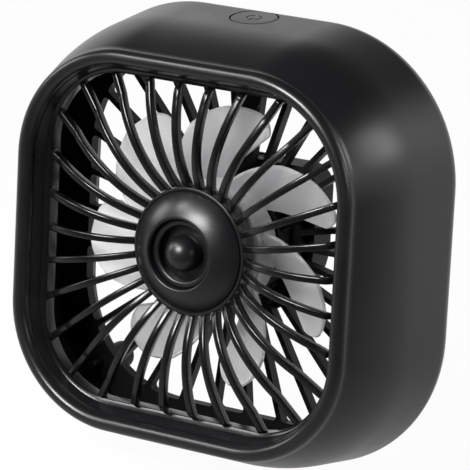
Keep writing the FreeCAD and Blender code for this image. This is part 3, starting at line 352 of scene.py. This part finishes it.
# %% Metal
def metal(name, colour, roughness, grain=0.15, depth=0.004, gloss_drift=0.3):
    """A metal with a fine scratched grain: the noise is stretched tenfold along X, the bump follows
    it, and the roughness drifts with the same noise by a share of itself, down and up."""
    material, tree, output = new_tree(name)
    shader = tree.nodes.new("ShaderNodeBsdfPrincipled")
    shader.inputs["Metallic"].default_value = 1.0
    shader.inputs["Base Color"].default_value = (*colour, 1)
    noise = noise_node(tree, grain, stretch=10)
    drifts = (roughness * (1 - gloss_drift), roughness * (1 + gloss_drift))
    rough = range_node(tree, target=drifts)
    bump = tree.nodes.new("ShaderNodeBump")
    bump.inputs["Distance"].default_value = depth * MM
    link_up(tree, [
        (noise.outputs["Fac"], rough.inputs["Value"]),
        (rough.outputs["Result"], shader.inputs["Roughness"]),
        (noise.outputs["Fac"], bump.inputs["Height"]),
        (bump.outputs["Normal"], shader.inputs["Normal"]),
        (shader.outputs[0], output.inputs["Surface"]),
    ])
    return material


plated_steel = metal("plated_steel", (0.58, 0.57, 0.55), 0.28)
black_zinc = metal("black_zinc", (0.10, 0.10, 0.11), 0.34)
core_steel = metal("core_steel", (0.30, 0.30, 0.31), 0.45)
bronze = metal("bronze", (0.62, 0.42, 0.22), 0.35)
copper = metal("copper", (0.72, 0.33, 0.16), 0.30)

# %% [markdown]
# ## Surfaces by formula
# A moulded piece follows its mould: a profile turned about an axis or carried round a rounded
# square, or a section that changes along a path. We could model each by hand with extrusions and
# bevels, but a formula keeps every round edge even, so the light runs along it in one thin line.
# Each surface is a grid of points in the fan's own millimetres: across, upward, and the height
# above the back plane. Only the last step puts it in the frame.

# %% From the fan's own axes to the frame
HALF_DEPTH, AXIS_HEIGHT = 19.75, 52.5


def in_frame(across, upward, height):
    """Points in the frame's metres: X = across, Y = half the depth - height above the back plane,
    Z = the axis's height + upward."""
    across, upward, height = np.broadcast_arrays(across, upward, height)
    return np.stack((across, HALF_DEPTH - height, AXIS_HEIGHT + upward), axis=-1) * MM


def grid_faces(rows, columns, closed_rows=False):
    """Four-sided faces of a grid stored row after row: (i, j), (i, j + 1), (i + 1, j + 1) and
    (i + 1, j). The last column is followed by the first, and so is the last row where the rows
    close too."""
    i = np.arange(rows if closed_rows else rows - 1)[:, None]
    j = np.arange(columns)[None, :]
    below, beside = (i + 1) % rows, (j + 1) % columns
    corners = (i * columns + j, i * columns + beside, below * columns + beside, below * columns + j)
    return np.stack(np.broadcast_arrays(*corners), axis=-1).reshape(-1, 4)


# %% One object from several closed shells
MERGE_DISTANCE = 0.0005


def make_piece(name, shells, material, body, nodes, sharp=40.0, mark=None):
    """A mesh object from shells, each a pair of points (n x 3) and faces (m x 4). Points that fall
    together, at a pole or a seam, are merged; faces are turned outwards; edges that bend more than
    the sharp angle stay crisp. A mark is one number per point, kept as an attribute. The piece then
    moves with its body, and the CAD nodes it stands in for are hidden."""
    counts = np.array([len(points) for points, _ in shells])
    starts = np.cumsum(counts) - counts
    points = np.concatenate([points for points, _ in shells])
    faces = np.concatenate([faces + start for (_, faces), start in zip(shells, starts)])
    mesh = bpy.data.meshes.new(name)
    mesh.from_pydata(points, [], faces.tolist())
    if mark is not None:
        kept = mesh.attributes.new("mark", "FLOAT", "POINT")
        kept.data.foreach_set("value", mark.astype(np.float32))
    work = bmesh.new()
    work.from_mesh(mesh)
    bmesh.ops.remove_doubles(work, verts=work.verts, dist=MERGE_DISTANCE * MM)
    bmesh.ops.recalc_face_normals(work, faces=work.faces)
    open_edges = sum(1 for edge in work.edges if len(edge.link_faces) != 2)
    work.to_mesh(mesh)
    work.free()
    mesh.shade_smooth()
    mesh.set_sharp_from_angle(angle=math.radians(sharp))
    mesh.materials.append(material)
    piece = bpy.data.objects.new(name, mesh)
    bpy.context.scene.collection.objects.link(piece)
    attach(piece, body)
    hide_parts(*nodes)
    print(name, len(mesh.vertices), "points,", open_edges, "open edges")
    return piece


# %% Profiles
def eased(places, distances, steps=5):
    """A closed profile with its corners rounded: corner V becomes the curve
    (1-t)^2 A + 2t(1-t) V + t^2 B, where A and B lie on its two sides at the given distance."""
    places = np.asarray(places, float)
    before = np.roll(places, 1, axis=0) - places
    after = np.roll(places, -1, axis=0) - places
    distance = np.asarray(distances, float)[:, None]
    start = places + before / np.linalg.norm(before, axis=1, keepdims=True) * distance
    stop = places + after / np.linalg.norm(after, axis=1, keepdims=True) * distance
    t = np.linspace(0, 1, steps)[None, :, None]
    start, corner, stop = start[:, None], places[:, None], stop[:, None]
    curve = (1 - t) ** 2 * start + 2 * t * (1 - t) * corner + t ** 2 * stop
    return curve.reshape(-1, places.shape[1])


def carried(profile, corner_steps=24):
    """A closed profile carried round a rounded square. Each profile place is (half width, corner
    radius, height); round corner q the path is the corner's centre + radius (cos a, sin a), with
    a from q to q + 1 quarter turns. A half width equal to its radius gives a circle."""
    half, corner, height = (column[:, None, None] for column in np.asarray(profile, float).T)
    quarter = np.arange(4)[None, :, None]
    angle = (quarter + np.linspace(0, 1, corner_steps)[None, None, :]) * np.pi / 2
    middle = (half - corner) * np.sqrt(2)
    diagonal = (quarter + 0.5) * np.pi / 2
    across = middle * np.cos(diagonal) + corner * np.cos(angle)
    upward = middle * np.sin(diagonal) + corner * np.sin(angle)
    rows = len(profile)
    points = in_frame(across, upward, height).reshape(rows, -1, 3)
    return points.reshape(-1, 3), grid_faces(rows, points.shape[1], closed_rows=True)


def quarter_round(radius, height, size, steps=9):
    """A quarter circle over an edge, from the flat face outside in: (radius - size + size sin a,
    height - size + size cos a)."""
    a = np.linspace(0, np.pi / 2, steps)
    return np.stack((radius - size + size * np.sin(a), height - size + size * np.cos(a)), axis=-1)


def turned(profile, steps=144, closed=False):
    """A profile of (radius, height) turned about the fan's axis. An open profile starts and ends on
    the axis, where its points fall together in a pole."""
    radius, height = (column[:, None] for column in np.asarray(profile, float).T)
    angle = np.arange(steps)[None, :] * 2 * np.pi / steps
    points = in_frame(radius * np.cos(angle), radius * np.sin(angle), height + 0 * angle)
    return points.reshape(-1, 3), grid_faces(len(profile), steps, closed_rows=closed)

# %% [markdown]
# ## The shell
# The shell is one deep moulding: a rounded back edge, four walls that draw in gently towards the
# front, and a round bead that stands up from a crease. The walls carry most of the light on the
# whole fan, so their curve matters: it starts straight, then bends more and more up to the crease.
# We carry its section round the rounded square, and cut the push button's hole with a boolean,
# because a round hole doesn't fit the grid.

# %% The shell's section
# CORNER_MIDDLE is a wall's half width less its corner radius, the same at every height. The back
# edge is a round of radius BACK_ROUND about ROUND_MIDDLE, and it meets the wall at the lean.
CORNER_MIDDLE = 17.4
CREASE, SEAM = 36.9, 2.7
ROUND_MIDDLE, BACK_ROUND = 47.9, 4.6
LEAN = math.radians(7.067)
WALL_START, BEND_START, FRONT_HALF, WALL = 7.0, 18.0, 45.4, 2.2
BEAD_WIDE, BEAD_TALL, BEAD_FOOT = 1.9, 2.3, 37.2
BORE_HALF, SKIRT_HALF, SKIRT_LOW, SKIRT_CHAMFER, INNER_TOP = 41.6, 43.2, 30.8, 0.15, 33.6


def wall_half(height):
    """Half the width over the outer wall. Behind the bend it falls by tan(lean) for each millimetre
    of height; from there to the crease the slope grows evenly, so the fall is
    tan(lean) h + c h^2, with c such that it comes to the front's half width at the crease."""
    round_end = BACK_ROUND * (1 + math.sin(LEAN))
    start = ROUND_MIDDLE + BACK_ROUND * math.cos(LEAN) + (round_end - BEND_START) * math.tan(LEAN)
    reach = CREASE - BEND_START
    c = (start - FRONT_HALF - math.tan(LEAN) * reach) / reach ** 2
    past = height - BEND_START
    return start - math.tan(LEAN) * past - c * np.clip(past, 0, None) ** 2


def shell_section():
    """The closed section as (half width, height): back edge, wall, bead, bore, skirt and the
    inner wall, which follows the outer one. The bead is half an ellipse on short upright feet."""
    edge = np.linspace(-math.asin((BACK_ROUND - SEAM) / BACK_ROUND), LEAN, 12)
    back = np.stack((ROUND_MIDDLE + BACK_ROUND * np.cos(edge),
                     BACK_ROUND + BACK_ROUND * np.sin(edge)), axis=-1)
    height = np.concatenate((np.linspace(WALL_START, BEND_START, 8),
                             np.linspace(BEND_START, CREASE, 22)[1:]))
    wall = np.stack((wall_half(height), height), axis=-1)
    a = np.linspace(0, np.pi, 33)
    bead = np.stack((FRONT_HALF - BEAD_WIDE + BEAD_WIDE * np.cos(a),
                     BEAD_FOOT + BEAD_TALL * np.sin(a)), axis=-1)
    skirt = np.array([
        (BORE_HALF, SKIRT_LOW + SKIRT_CHAMFER), (BORE_HALF + SKIRT_CHAMFER, SKIRT_LOW),
        (SKIRT_HALF - SKIRT_CHAMFER, SKIRT_LOW), (SKIRT_HALF, SKIRT_LOW + SKIRT_CHAMFER),
        (SKIRT_HALF, INNER_TOP)])
    height = np.linspace(INNER_TOP, SEAM, 24)
    inner = np.stack((wall_half(height) - WALL / math.cos(LEAN), height), axis=-1)
    return np.concatenate((back, wall, bead, skirt, inner))


# %% The shell and its button hole
BUTTON_BACK, BUTTON_FOOT, BUTTON_HOLE = 9.7, 51.903, 5.85


def leaning_place(across, along, out):
    """A place in the button's own axes, put in the frame: it lies at along cos - out sin along Y
    and along sin + out cos along Z from the button's foot, because the wall leans."""
    y = HALF_DEPTH - BUTTON_BACK + along * math.cos(LEAN) - out * math.sin(LEAN)
    z = AXIS_HEIGHT + BUTTON_FOOT + along * math.sin(LEAN) + out * math.cos(LEAN)
    return np.stack(np.broadcast_arrays(across, y, z), axis=-1) * MM


def cut_round(piece, radius, low, high, sharp=30.0, steps=96):
    """Takes a round bar along the button's axis out of a piece, and keeps the result as its
    mesh."""
    turn = np.arange(steps) * 2 * np.pi / steps
    across, along = radius * np.cos(turn), radius * np.sin(turn)
    ends = [leaning_place(across, along, out) for out in (low, high)]
    lids = [tuple(range(steps)), tuple(range(2 * steps - 1, steps - 1, -1))]
    bar = bpy.data.meshes.new("bar")
    bar.from_pydata(np.concatenate(ends), [], grid_faces(2, steps).tolist() + lids)
    work = bmesh.new()
    work.from_mesh(bar)
    bmesh.ops.recalc_face_normals(work, faces=work.faces)
    work.to_mesh(bar)
    work.free()
    cutter = bpy.data.objects.new("bar", bar)
    bpy.context.scene.collection.objects.link(cutter)
    cut = piece.modifiers.new("cut", "BOOLEAN")
    cut.object = cutter
    cut.solver = "EXACT"
    evaluated = piece.evaluated_get(bpy.context.evaluated_depsgraph_get())
    result = bpy.data.meshes.new_from_object(evaluated)
    piece.modifiers.remove(cut)
    piece.data = result
    bpy.data.objects.remove(cutter)
    bpy.data.meshes.remove(bar)
    result.shade_smooth()
    result.set_sharp_from_angle(angle=math.radians(sharp))
    print(piece.name, "cut:", len(result.polygons), "faces")


section = shell_section()
shell_profile = np.stack((section[:, 0], section[:, 0] - CORNER_MIDDLE, section[:, 1]), axis=-1)
shell = make_piece("outer_shell", [carried(shell_profile, corner_steps=32)], black_shell,
                   "housing", ["housing_shell"], sharp=30.0)
cut_round(shell, BUTTON_HOLE, low=-4.0, high=2.0)

# %% [markdown]
# ## The front guard
# The guard is one moulding: thirty straight ribs that spring from a root ring under the cap, rise
# to a crest, fall away again and dive into a thin frame. A flat extrusion would give them knife
# edges. A real mould rounds their noses and narrows them towards the back, so that they slide out
# of it, and the rounded nose is what catches the light. We give each rib a section with a round
# nose and carry it along the rib's own side view.

# %% The ribs' side view
CREST_REACH, ROOT_REACH, TURN_REACH, LAST_REACH = 28.0, 14.2, 39.5, 54.6
CREST_FRONT, CREST_BACK = 37.2, 34.6
FRONT_FALLS, BACK_FALLS, LAST_FALL = (4.7, 2.3), (5.4, 2.4), 2.9
OPENING_HALF, OPENING_CORNER = 38.95, 19.05
NOSE_TOP, NOSE_ROUND, NOSE_SLOPE = 36.25, 3.6, 0.35
CAP_SEAT, CAP_EDGE = 31.35, 15.17


def arc_fall(distance, run, fall):
    """How far an arc that leaves its crest level has fallen after a distance, if it falls by so
    much over the whole run: R - sqrt(R^2 - distance^2), with R = (run^2 + fall^2) / (2 fall)."""
    radius = (run ** 2 + fall ** 2) / (2 * fall)
    return radius - np.sqrt(radius ** 2 - np.clip(distance, 0, run) ** 2)


def rib_edge(reach, crest, falls):
    """The height of a rib's edge: an arc from the crest in to the root, another out to the turn,
    each with its own fall, and a straight fall from there to the last reach."""
    root_fall, turn_fall = falls
    inward = arc_fall(CREST_REACH - reach, CREST_REACH - ROOT_REACH, root_fall)
    outward = arc_fall(reach - CREST_REACH, TURN_REACH - CREST_REACH, turn_fall)
    straight = np.clip(reach - TURN_REACH, 0, None) * LAST_FALL / (LAST_REACH - TURN_REACH)
    return crest - inward - outward - straight


def square_reach(angle, half, corner):
    """How far a ray runs from the middle to a rounded square: half / max(|cos|, |sin|) to a
    straight side, and b + sqrt(b^2 - 2 m^2 + corner^2) to a corner, where m = half - corner is the
    place of the corner's centre and b = m (|cos| + |sin|)."""
    across, upward = np.abs(np.cos(angle)), np.abs(np.sin(angle))
    straight = half / np.maximum(across, upward)
    middle = half - corner
    b = middle * (across + upward)
    curved = b + np.sqrt(np.maximum(b ** 2 - 2 * middle ** 2 + corner ** 2, 0))
    return np.where(straight * np.minimum(across, upward) <= middle, straight, curved)


def depth_inside(across, upward, half, corner):
    """The distance from a point inside a rounded square to its outline: corner - |max(q, 0)| -
    min(max(q), 0), where q = |point| - (half - corner)."""
    q = np.stack((np.abs(across), np.abs(upward)), axis=-1) - (half - corner)
    return corner - np.linalg.norm(np.maximum(q, 0), axis=-1) - np.minimum(q.max(axis=-1), 0)


# %% The ribs' section
def rib_edges(reach, inside, softness=7.0, thinnest=1.3):
    """The heights of the ribs' front and back edges. The front edge is the lower of the side view's
    height h and of the nose line n by the frame, joined softly: -ln(exp(-7 h) + exp(-7 n)) / 7. The
    nose line is a quarter round that goes on with a gentle slope. Under the cap the front edge is
    the cap's seat, and the back edge stays at least the thinnest depth under the front one."""
    short = NOSE_ROUND - np.clip(inside, 0, NOSE_ROUND)
    nose_line = NOSE_TOP - NOSE_ROUND + np.sqrt(NOSE_ROUND ** 2 - short ** 2)
    nose_line = nose_line + NOSE_SLOPE * np.clip(inside - NOSE_ROUND, 0, None)
    side_view = rib_edge(reach, CREST_FRONT, FRONT_FALLS)
    front = -np.logaddexp(-softness * side_view, -softness * nose_line) / softness
    front = np.where(reach <= CAP_EDGE, CAP_SEAT, front)
    back = np.minimum(rib_edge(reach, CREST_BACK, BACK_FALLS), front - thinnest)
    return front, back


def rib_section(half_front=0.84, half_back=0.50, nose=0.50, heel=0.22):
    """A rib's section as three columns: how far sideways, 0 for the front edge or 1 for the back
    edge, and how far below that edge. The nose is (half (sin a)^0.65, nose (1 - cos a)), and the
    heel (half (sin b)^0.6, -heel (1 - cos b))."""
    a = np.linspace(-np.pi / 2, np.pi / 2, 17)
    b = a[::-2]
    sideways = np.concatenate((half_front * np.sign(a) * np.abs(np.sin(a)) ** 0.65,
                               half_back * np.sign(b) * np.abs(np.sin(b)) ** 0.6))
    share = np.concatenate((np.zeros_like(a), np.ones_like(b)))
    below = np.concatenate((nose * (1 - np.cos(a)), -heel * (1 - np.cos(b))))
    return sideways, share, below


# %% The ribs
RIB_OVERRUN, NOSE_OVERRUN, CAP_GAP = 0.2, 0.1, 0.01


def make_ribs(count=30, along=60):
    """Every rib as one grid: along the rib x round its section. A rib starts with two rows on the
    cap's seat and runs on to just inside the frame, with rows at 1 - (1 - t)^1.4 of the way, which
    lie closer by the frame, where the front edge bends most. Its two ends close in a point."""
    turn_angle = (np.arange(count) * 2 * np.pi / count)[:, None]
    last = square_reach(turn_angle, OPENING_HALF + RIB_OVERRUN, OPENING_CORNER + RIB_OVERRUN)
    first = CAP_EDGE + CAP_GAP
    t = np.linspace(0, 1, along)[None, :]
    reach = first + (last - first) * (1 - (1 - t) ** 1.4)
    inner = np.broadcast_to([[ROOT_REACH, CAP_EDGE]], (count, 2))
    reach = np.concatenate((inner, reach), axis=1)
    across, upward = reach * np.cos(turn_angle), reach * np.sin(turn_angle)
    outline = (OPENING_HALF + NOSE_OVERRUN, OPENING_CORNER + NOSE_OVERRUN)
    inside = depth_inside(across, upward, *outline)
    front, back = rib_edges(reach, inside)
    sideways, share, below = rib_section()
    height = front[..., None] - share * (front - back)[..., None] - below
    turn_angle = turn_angle[..., None]
    across = across[..., None] - sideways * np.sin(turn_angle)
    upward = upward[..., None] + sideways * np.cos(turn_angle)
    points = in_frame(across, upward, height)
    ends = points[:, [0, -1]].mean(axis=2, keepdims=True) + 0 * points[:, [0, -1]]
    points = np.concatenate((ends[:, :1], points, ends[:, 1:]), axis=1)
    ribs, rows, columns, _ = points.shape
    faces = grid_faces(rows, columns)[None] + (np.arange(ribs) * rows * columns)[:, None, None]
    return points.reshape(-1, 3), faces.reshape(-1, 4)


# %% The guard's frame and root ring
# Half widths with their corner radii: the flange's outside, the opening and the skirt's outside.
# The root ring's are equal, which makes it round.
FLANGE, OPENING, FRAME_SKIRT = (40.2, 21.55), (OPENING_HALF, OPENING_CORNER), (39.3, 19.4)
FLANGE_LOW, FLANGE_TOP, LIP_TOP, FRAME_LOW = 31.65, 34.25, 33.5, 30.1
RING_INSIDE, RING_OUTSIDE, RING_LOW = (13.4, 13.4), (14.75, 14.75), 27.8

guard_frame = carried(eased(
    [(*FLANGE, FLANGE_LOW), (*FLANGE, FLANGE_TOP), (*OPENING, LIP_TOP), (*OPENING, FRAME_LOW),
     (*FRAME_SKIRT, FRAME_LOW), (*FRAME_SKIRT, FLANGE_LOW)],
    [0.10, 0.12, 0.28, 0.12, 0.12, 0.05]))
root_ring = carried(eased(
    [(*RING_INSIDE, CAP_SEAT), (*RING_OUTSIDE, CAP_SEAT), (*RING_OUTSIDE, RING_LOW),
     (*RING_INSIDE, RING_LOW)],
    [0.1, 0.1, 0.3, 0.3]), corner_steps=32)
make_piece("front_guard", [make_ribs(), guard_frame, root_ring], black_guard,
           "housing", ["front_grille"])

# %% [markdown]
# ## The hub cap
# The cap is a ring-shaped dome round a cup. Its highest place is right at the cup's mouth, and from
# there it falls away more and more steeply, so the broad highlight hugs the mouth. The edges matter
# as much as the dome: a moulded lip is never sharp, and its small round draws the fine bright line
# that sets the cap off from the ribs. A profile turned about the fan's axis gives all of it.

# %% The cap
PIN_HOLE, CAP_UNDERSIDE, CUP_FLOOR = 2.12, 31.7, 33.3
LEDGE_RADIUS, LEDGE_TOP = 7.3, 35.2
CUP_RADIUS, CUP_ROUND, DOME_TOP = 8.2, 0.5, 37.4
DOME_FOOT, DOME_ROUND = (14.10, 33.35), 13.0
GROOVE_FLOOR, GROOVE_EDGE, GROOVE_TOP = 32.85, 14.25, 33.1
CAP_RADIUS, CAP_LIP, LIP_START, LIP_ROUND, CAP_BACK = 15.05, 33.25, 14.4, 0.35, 31.5
PLUG_OUTSIDE, PLUG_INSIDE, PLUG_LOW = 13.28, 12.28, 28.9


def dome_arc(start, stop, radius, steps=24):
    """The arc of the given radius that bulges outwards from start to stop. Its middle lies at
    sqrt(radius^2 - (chord / 2)^2) from the middle of the chord, square to it on the inner side."""
    start, stop = np.array(start), np.array(stop)
    chord = stop - start
    length = np.linalg.norm(chord)
    inward = np.array((chord[1], -chord[0])) / length
    middle = (start + stop) / 2 + inward * math.sqrt(radius ** 2 - (length / 2) ** 2)
    first, last = (math.atan2(*(end - middle)) for end in (start, stop))
    a = np.linspace(first, last, steps)
    return middle + radius * np.stack((np.sin(a), np.cos(a)), axis=-1)


quarter = np.linspace(0, np.pi / 2, 9)
cup_edge = np.stack((CUP_RADIUS + CUP_ROUND * (1 - np.cos(quarter)),
                     DOME_TOP - CUP_ROUND * (1 - np.sin(quarter))), axis=-1)
cap_profile = np.concatenate((
    [(PIN_HOLE, CAP_UNDERSIDE), (PIN_HOLE, CUP_FLOOR), (LEDGE_RADIUS, CUP_FLOOR),
     (LEDGE_RADIUS, LEDGE_TOP), (CUP_RADIUS, LEDGE_TOP)],
    cup_edge,
    dome_arc((CUP_RADIUS + CUP_ROUND, DOME_TOP), DOME_FOOT, DOME_ROUND)[1:],
    [(DOME_FOOT[0], GROOVE_FLOOR), (GROOVE_EDGE, GROOVE_FLOOR), (GROOVE_EDGE, GROOVE_TOP),
     (LIP_START, CAP_LIP)],
    quarter_round(CAP_RADIUS, CAP_LIP, LIP_ROUND),
    [(CAP_RADIUS, CAP_BACK), (PLUG_OUTSIDE, CAP_BACK), (PLUG_OUTSIDE, PLUG_LOW),
     (PLUG_INSIDE, PLUG_LOW), (PLUG_INSIDE, CAP_UNDERSIDE)]))
make_piece("cap_dome", [turned(cap_profile, closed=True)], black_cap,
           "housing", ["hub_cap"])

# %% [markdown]
# ## The impeller
# Seven thin blades stand round a flat hub, pressed from pale see-through plastic. A blade is a
# piece of a helix: its front edge leads and its back edge trails, and both sweep back as they run
# out, so the tip passes quietly. We work out the blade's middle surface and then thicken it on
# both sides along its own normal, down to nothing at the edges, so that they are round.

# %% Blades
HUB_RADIUS, HUB_TOP, HUB_LOW = 15.4, 26.5, 19.4
BLADE_FRONT, BLADE_BACK, BLADE_TIP = 26.0, 18.5, 34.0
ROOT_SINK, TIP_FALL, EDGE_REACH = 0.6, 5, 12.0


def make_blades(count=7, out=44, around=72, thick=0.96, edge=0.5):
    """Closed grids, out along the blade x round its section. With s from root to tip, its rows
    closer at the tip, and d from the front edge to the back edge, the radius is
    root + s (reach - root), where the tip's reach falls by 5 |2d - 1|^3.2, and the angle runs from
    75 - 1.86 b to 38.5 - 2.55 b + 0.062 b^2 degrees, b being the distance out from the hub. The
    half thickness is that of a round edge: sqrt(1 - (1 - e)^2), e being the distance to the nearest
    edge over the edge's own width. The distances to the front and back edges are taken as 12 d and
    12 (1 - d)."""
    s = np.linspace(0, 1, out)[:, None] ** 0.8
    turn = np.arange(around)[None, :] * 2 * np.pi / around
    d = (1 - np.cos(turn)) / 2
    root = HUB_RADIUS - ROOT_SINK
    reach = BLADE_TIP - TIP_FALL * np.abs(2 * d - 1) ** 3.2
    radius = root + s * (reach - root)
    beyond = radius - HUB_RADIUS
    lead = 75 - 1.86 * beyond
    trail = 38.5 - 2.55 * beyond + 0.062 * beyond ** 2
    angle = np.radians(lead + (trail - lead) * d)
    height = BLADE_FRONT + (BLADE_BACK - BLADE_FRONT) * d + 0 * s
    middle = np.stack((radius * np.cos(angle), radius * np.sin(angle), height), axis=-1)
    outward = np.gradient(middle, axis=0)
    wrapped = np.concatenate((middle[:, -1:], middle, middle[:, :1]), axis=1)
    onward = np.gradient(wrapped, axis=1)[:, 1:-1]
    onward = onward * np.where(np.sin(turn) < 0, -1, 1)[..., None]
    normal = np.cross(outward, onward)
    normal = normal / np.maximum(np.linalg.norm(normal, axis=-1, keepdims=True), 1e-9)
    to_edge = np.minimum(EDGE_REACH * np.minimum(d, 1 - d), reach - radius)
    near = np.clip(to_edge / edge, 0, 1)
    half = thick / 2 * np.sqrt(1 - (1 - near) ** 2) * np.sign(np.sin(turn).round(9))
    shape = middle + normal * half[..., None]
    start = shape[:1].mean(axis=1, keepdims=True) + 0 * shape[:1]
    shape = np.concatenate((start, shape), axis=0)
    place = (np.arange(count) * 2 * np.pi / count)[:, None, None]
    across = shape[..., 0] * np.cos(place) - shape[..., 1] * np.sin(place)
    upward = shape[..., 0] * np.sin(place) + shape[..., 1] * np.cos(place)
    points = in_frame(across, upward, shape[..., 2])
    rows = out + 1
    faces = grid_faces(rows, around)[None] + (np.arange(count) * rows * around)[:, None, None]
    return points.reshape(-1, 3), faces.reshape(-1, 4)


# %% The hub
HUB_ROUND, HUB_WALL = 1.2, 1.4
BOSS_RADIUS, SHAFT_HOLE, BOSS_LOW = 2.6, 1.02, 20.0

hub_inside, hub_ceiling = HUB_RADIUS - HUB_WALL, HUB_TOP - HUB_WALL
hub = turned(np.concatenate((
    [(0, HUB_TOP)],
    quarter_round(HUB_RADIUS, HUB_TOP, HUB_ROUND),
    [(HUB_RADIUS, HUB_LOW), (hub_inside, HUB_LOW), (hub_inside, hub_ceiling),
     (BOSS_RADIUS, hub_ceiling), (BOSS_RADIUS, BOSS_LOW), (SHAFT_HOLE, BOSS_LOW),
     (SHAFT_HOLE, hub_ceiling), (0, hub_ceiling)])))
make_piece("fan_wheel", [make_blades(), hub], smoky_grey, "rotor", ["impeller"])

# %% [markdown]
# ## The push button
# The button is a short round cap, flush with the sloping top wall, with a flange that stops it
# under the wall. Its mark is the usual ring and bar, cut a tenth of a millimetre into the face.
# A texture could paint it, but a cut catches light on its edges and shows from low angles too, so
# the face is a fine polar grid that sinks where it is close to the mark's centre line.

# %% The button
# The face has fine rows as far as the mark reaches, and coarse ones from there to the edge.
FINE_END, COARSE_START = 2.9, 3.1
FLANGE_RADIUS, FLANGE_UPPER, FLANGE_UNDER = 6.45, -2.5, -3.2


def stroke_distance(across, along, ring=1.72, gap=math.radians(38), bar=(0.55, 2.35)):
    """The distance in the button's face to the mark's centre line: | r - ring | outside the gap,
    the distance to the arc's end inside it, or the distance to the bar, whichever is least."""
    radius, angle = np.hypot(across, along), np.abs(np.arctan2(across, -along))
    end = np.hypot(np.abs(across) - ring * math.sin(gap), -along - ring * math.cos(gap))
    to_ring = np.where(angle > gap, np.abs(radius - ring), end)
    to_bar = np.hypot(across, -along - np.clip(-along, *bar))
    return np.minimum(to_ring, to_bar)


def make_button(columns=240, radius=5.55, edge=0.3, stroke=0.20, cut=0.12, flank=0.08):
    """The button as one grid from the middle of its face, over the round edge and the flange, to
    the middle of its underside. Each place is given in the button's own axes, which lean with the
    wall: across, along the wall, and out of it. The mark sinks by cut (3 u^2 - 2 u^3), where u goes
    0 to 1 over its flank, halfway at the stroke's edge."""
    face = np.concatenate((np.linspace(0, FINE_END, 59),
                           np.linspace(COARSE_START, radius - edge, 10)))
    a = np.linspace(0, np.pi / 2, 7)[1:]
    rim = np.stack((radius - edge + edge * np.sin(a), edge * np.cos(a) - edge), axis=-1)
    under = np.array([(radius, FLANGE_UPPER), (FLANGE_RADIUS, FLANGE_UPPER),
                      (FLANGE_RADIUS, FLANGE_UNDER), (0, FLANGE_UNDER)])
    profile = np.concatenate((np.stack((face, 0 * face), axis=-1), rim, under))
    turn = np.arange(columns)[None, :] * 2 * np.pi / columns
    across, along = profile[:, :1] * np.cos(turn), profile[:, :1] * np.sin(turn)
    on_face = (np.arange(len(profile)) < len(face))[:, None]
    depth = np.clip((stroke - stroke_distance(across, along)) / flank + 0.5, 0, 1) * on_face
    mark = depth ** 2 * (3 - 2 * depth)
    height = profile[:, 1:] - cut * mark
    points = leaning_place(across, along, height).reshape(-1, 3)
    return (points, grid_faces(len(profile), columns)), mark.ravel()


button, button_mark = make_button()
make_piece("push_button", [button], black_button, "button", ["power_button"],
           mark=button_mark)

# %% [markdown]
# ## The pieces that stay as CAD
# The bezel, the back cover, the motor, the boards and the screws are plain forms, and most of them
# sit in the dark behind the blades. We could model them again, but their CAD solids are exact
# enough, so we keep those and change only what they are made of.

# %% Each carried-over node gets its finish
FINISHES = {
    "front_bezel": black_shell, "hub_trim_ring": black_cap, "hub_ball": black_cap,
    "rear_cover": black_inner, "motor_cover": black_inner,
    "circuit_board": green_board, "usb_socket": plated_steel,
    "motor_can": plated_steel, "motor_end_cap": milky_nylon, "motor_shaft": plated_steel,
    "front_bush": bronze, "rear_bush": bronze, "motor_terminals": bronze,
    "motor_brushes": bronze, "motor_magnets": ferrite, "armature_core": core_steel,
    "armature_windings": copper, "commutator": copper,
    "switch_plunger": black_nylon, "switch_body": black_nylon, "switch_board": green_board,
    "corner_screws": black_zinc, "cover_screws": black_zinc, "switch_screws": black_zinc,
}


def dress(node, material):
    """Gives a CAD node its finish, in place of the frame's plain one."""
    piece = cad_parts[node]
    piece.data.materials.clear()
    piece.data.materials.append(material)


for node, material in FINISHES.items():
    dress(node, material)
print("dressed:", len(FINISHES), "nodes")

# %% [markdown]
# ## The end
# The Standard view transform keeps the black black and the floor pale, where a filmic one would
# grey them.

# %% The view transform
bpy.context.scene.view_settings.view_transform = "Standard"
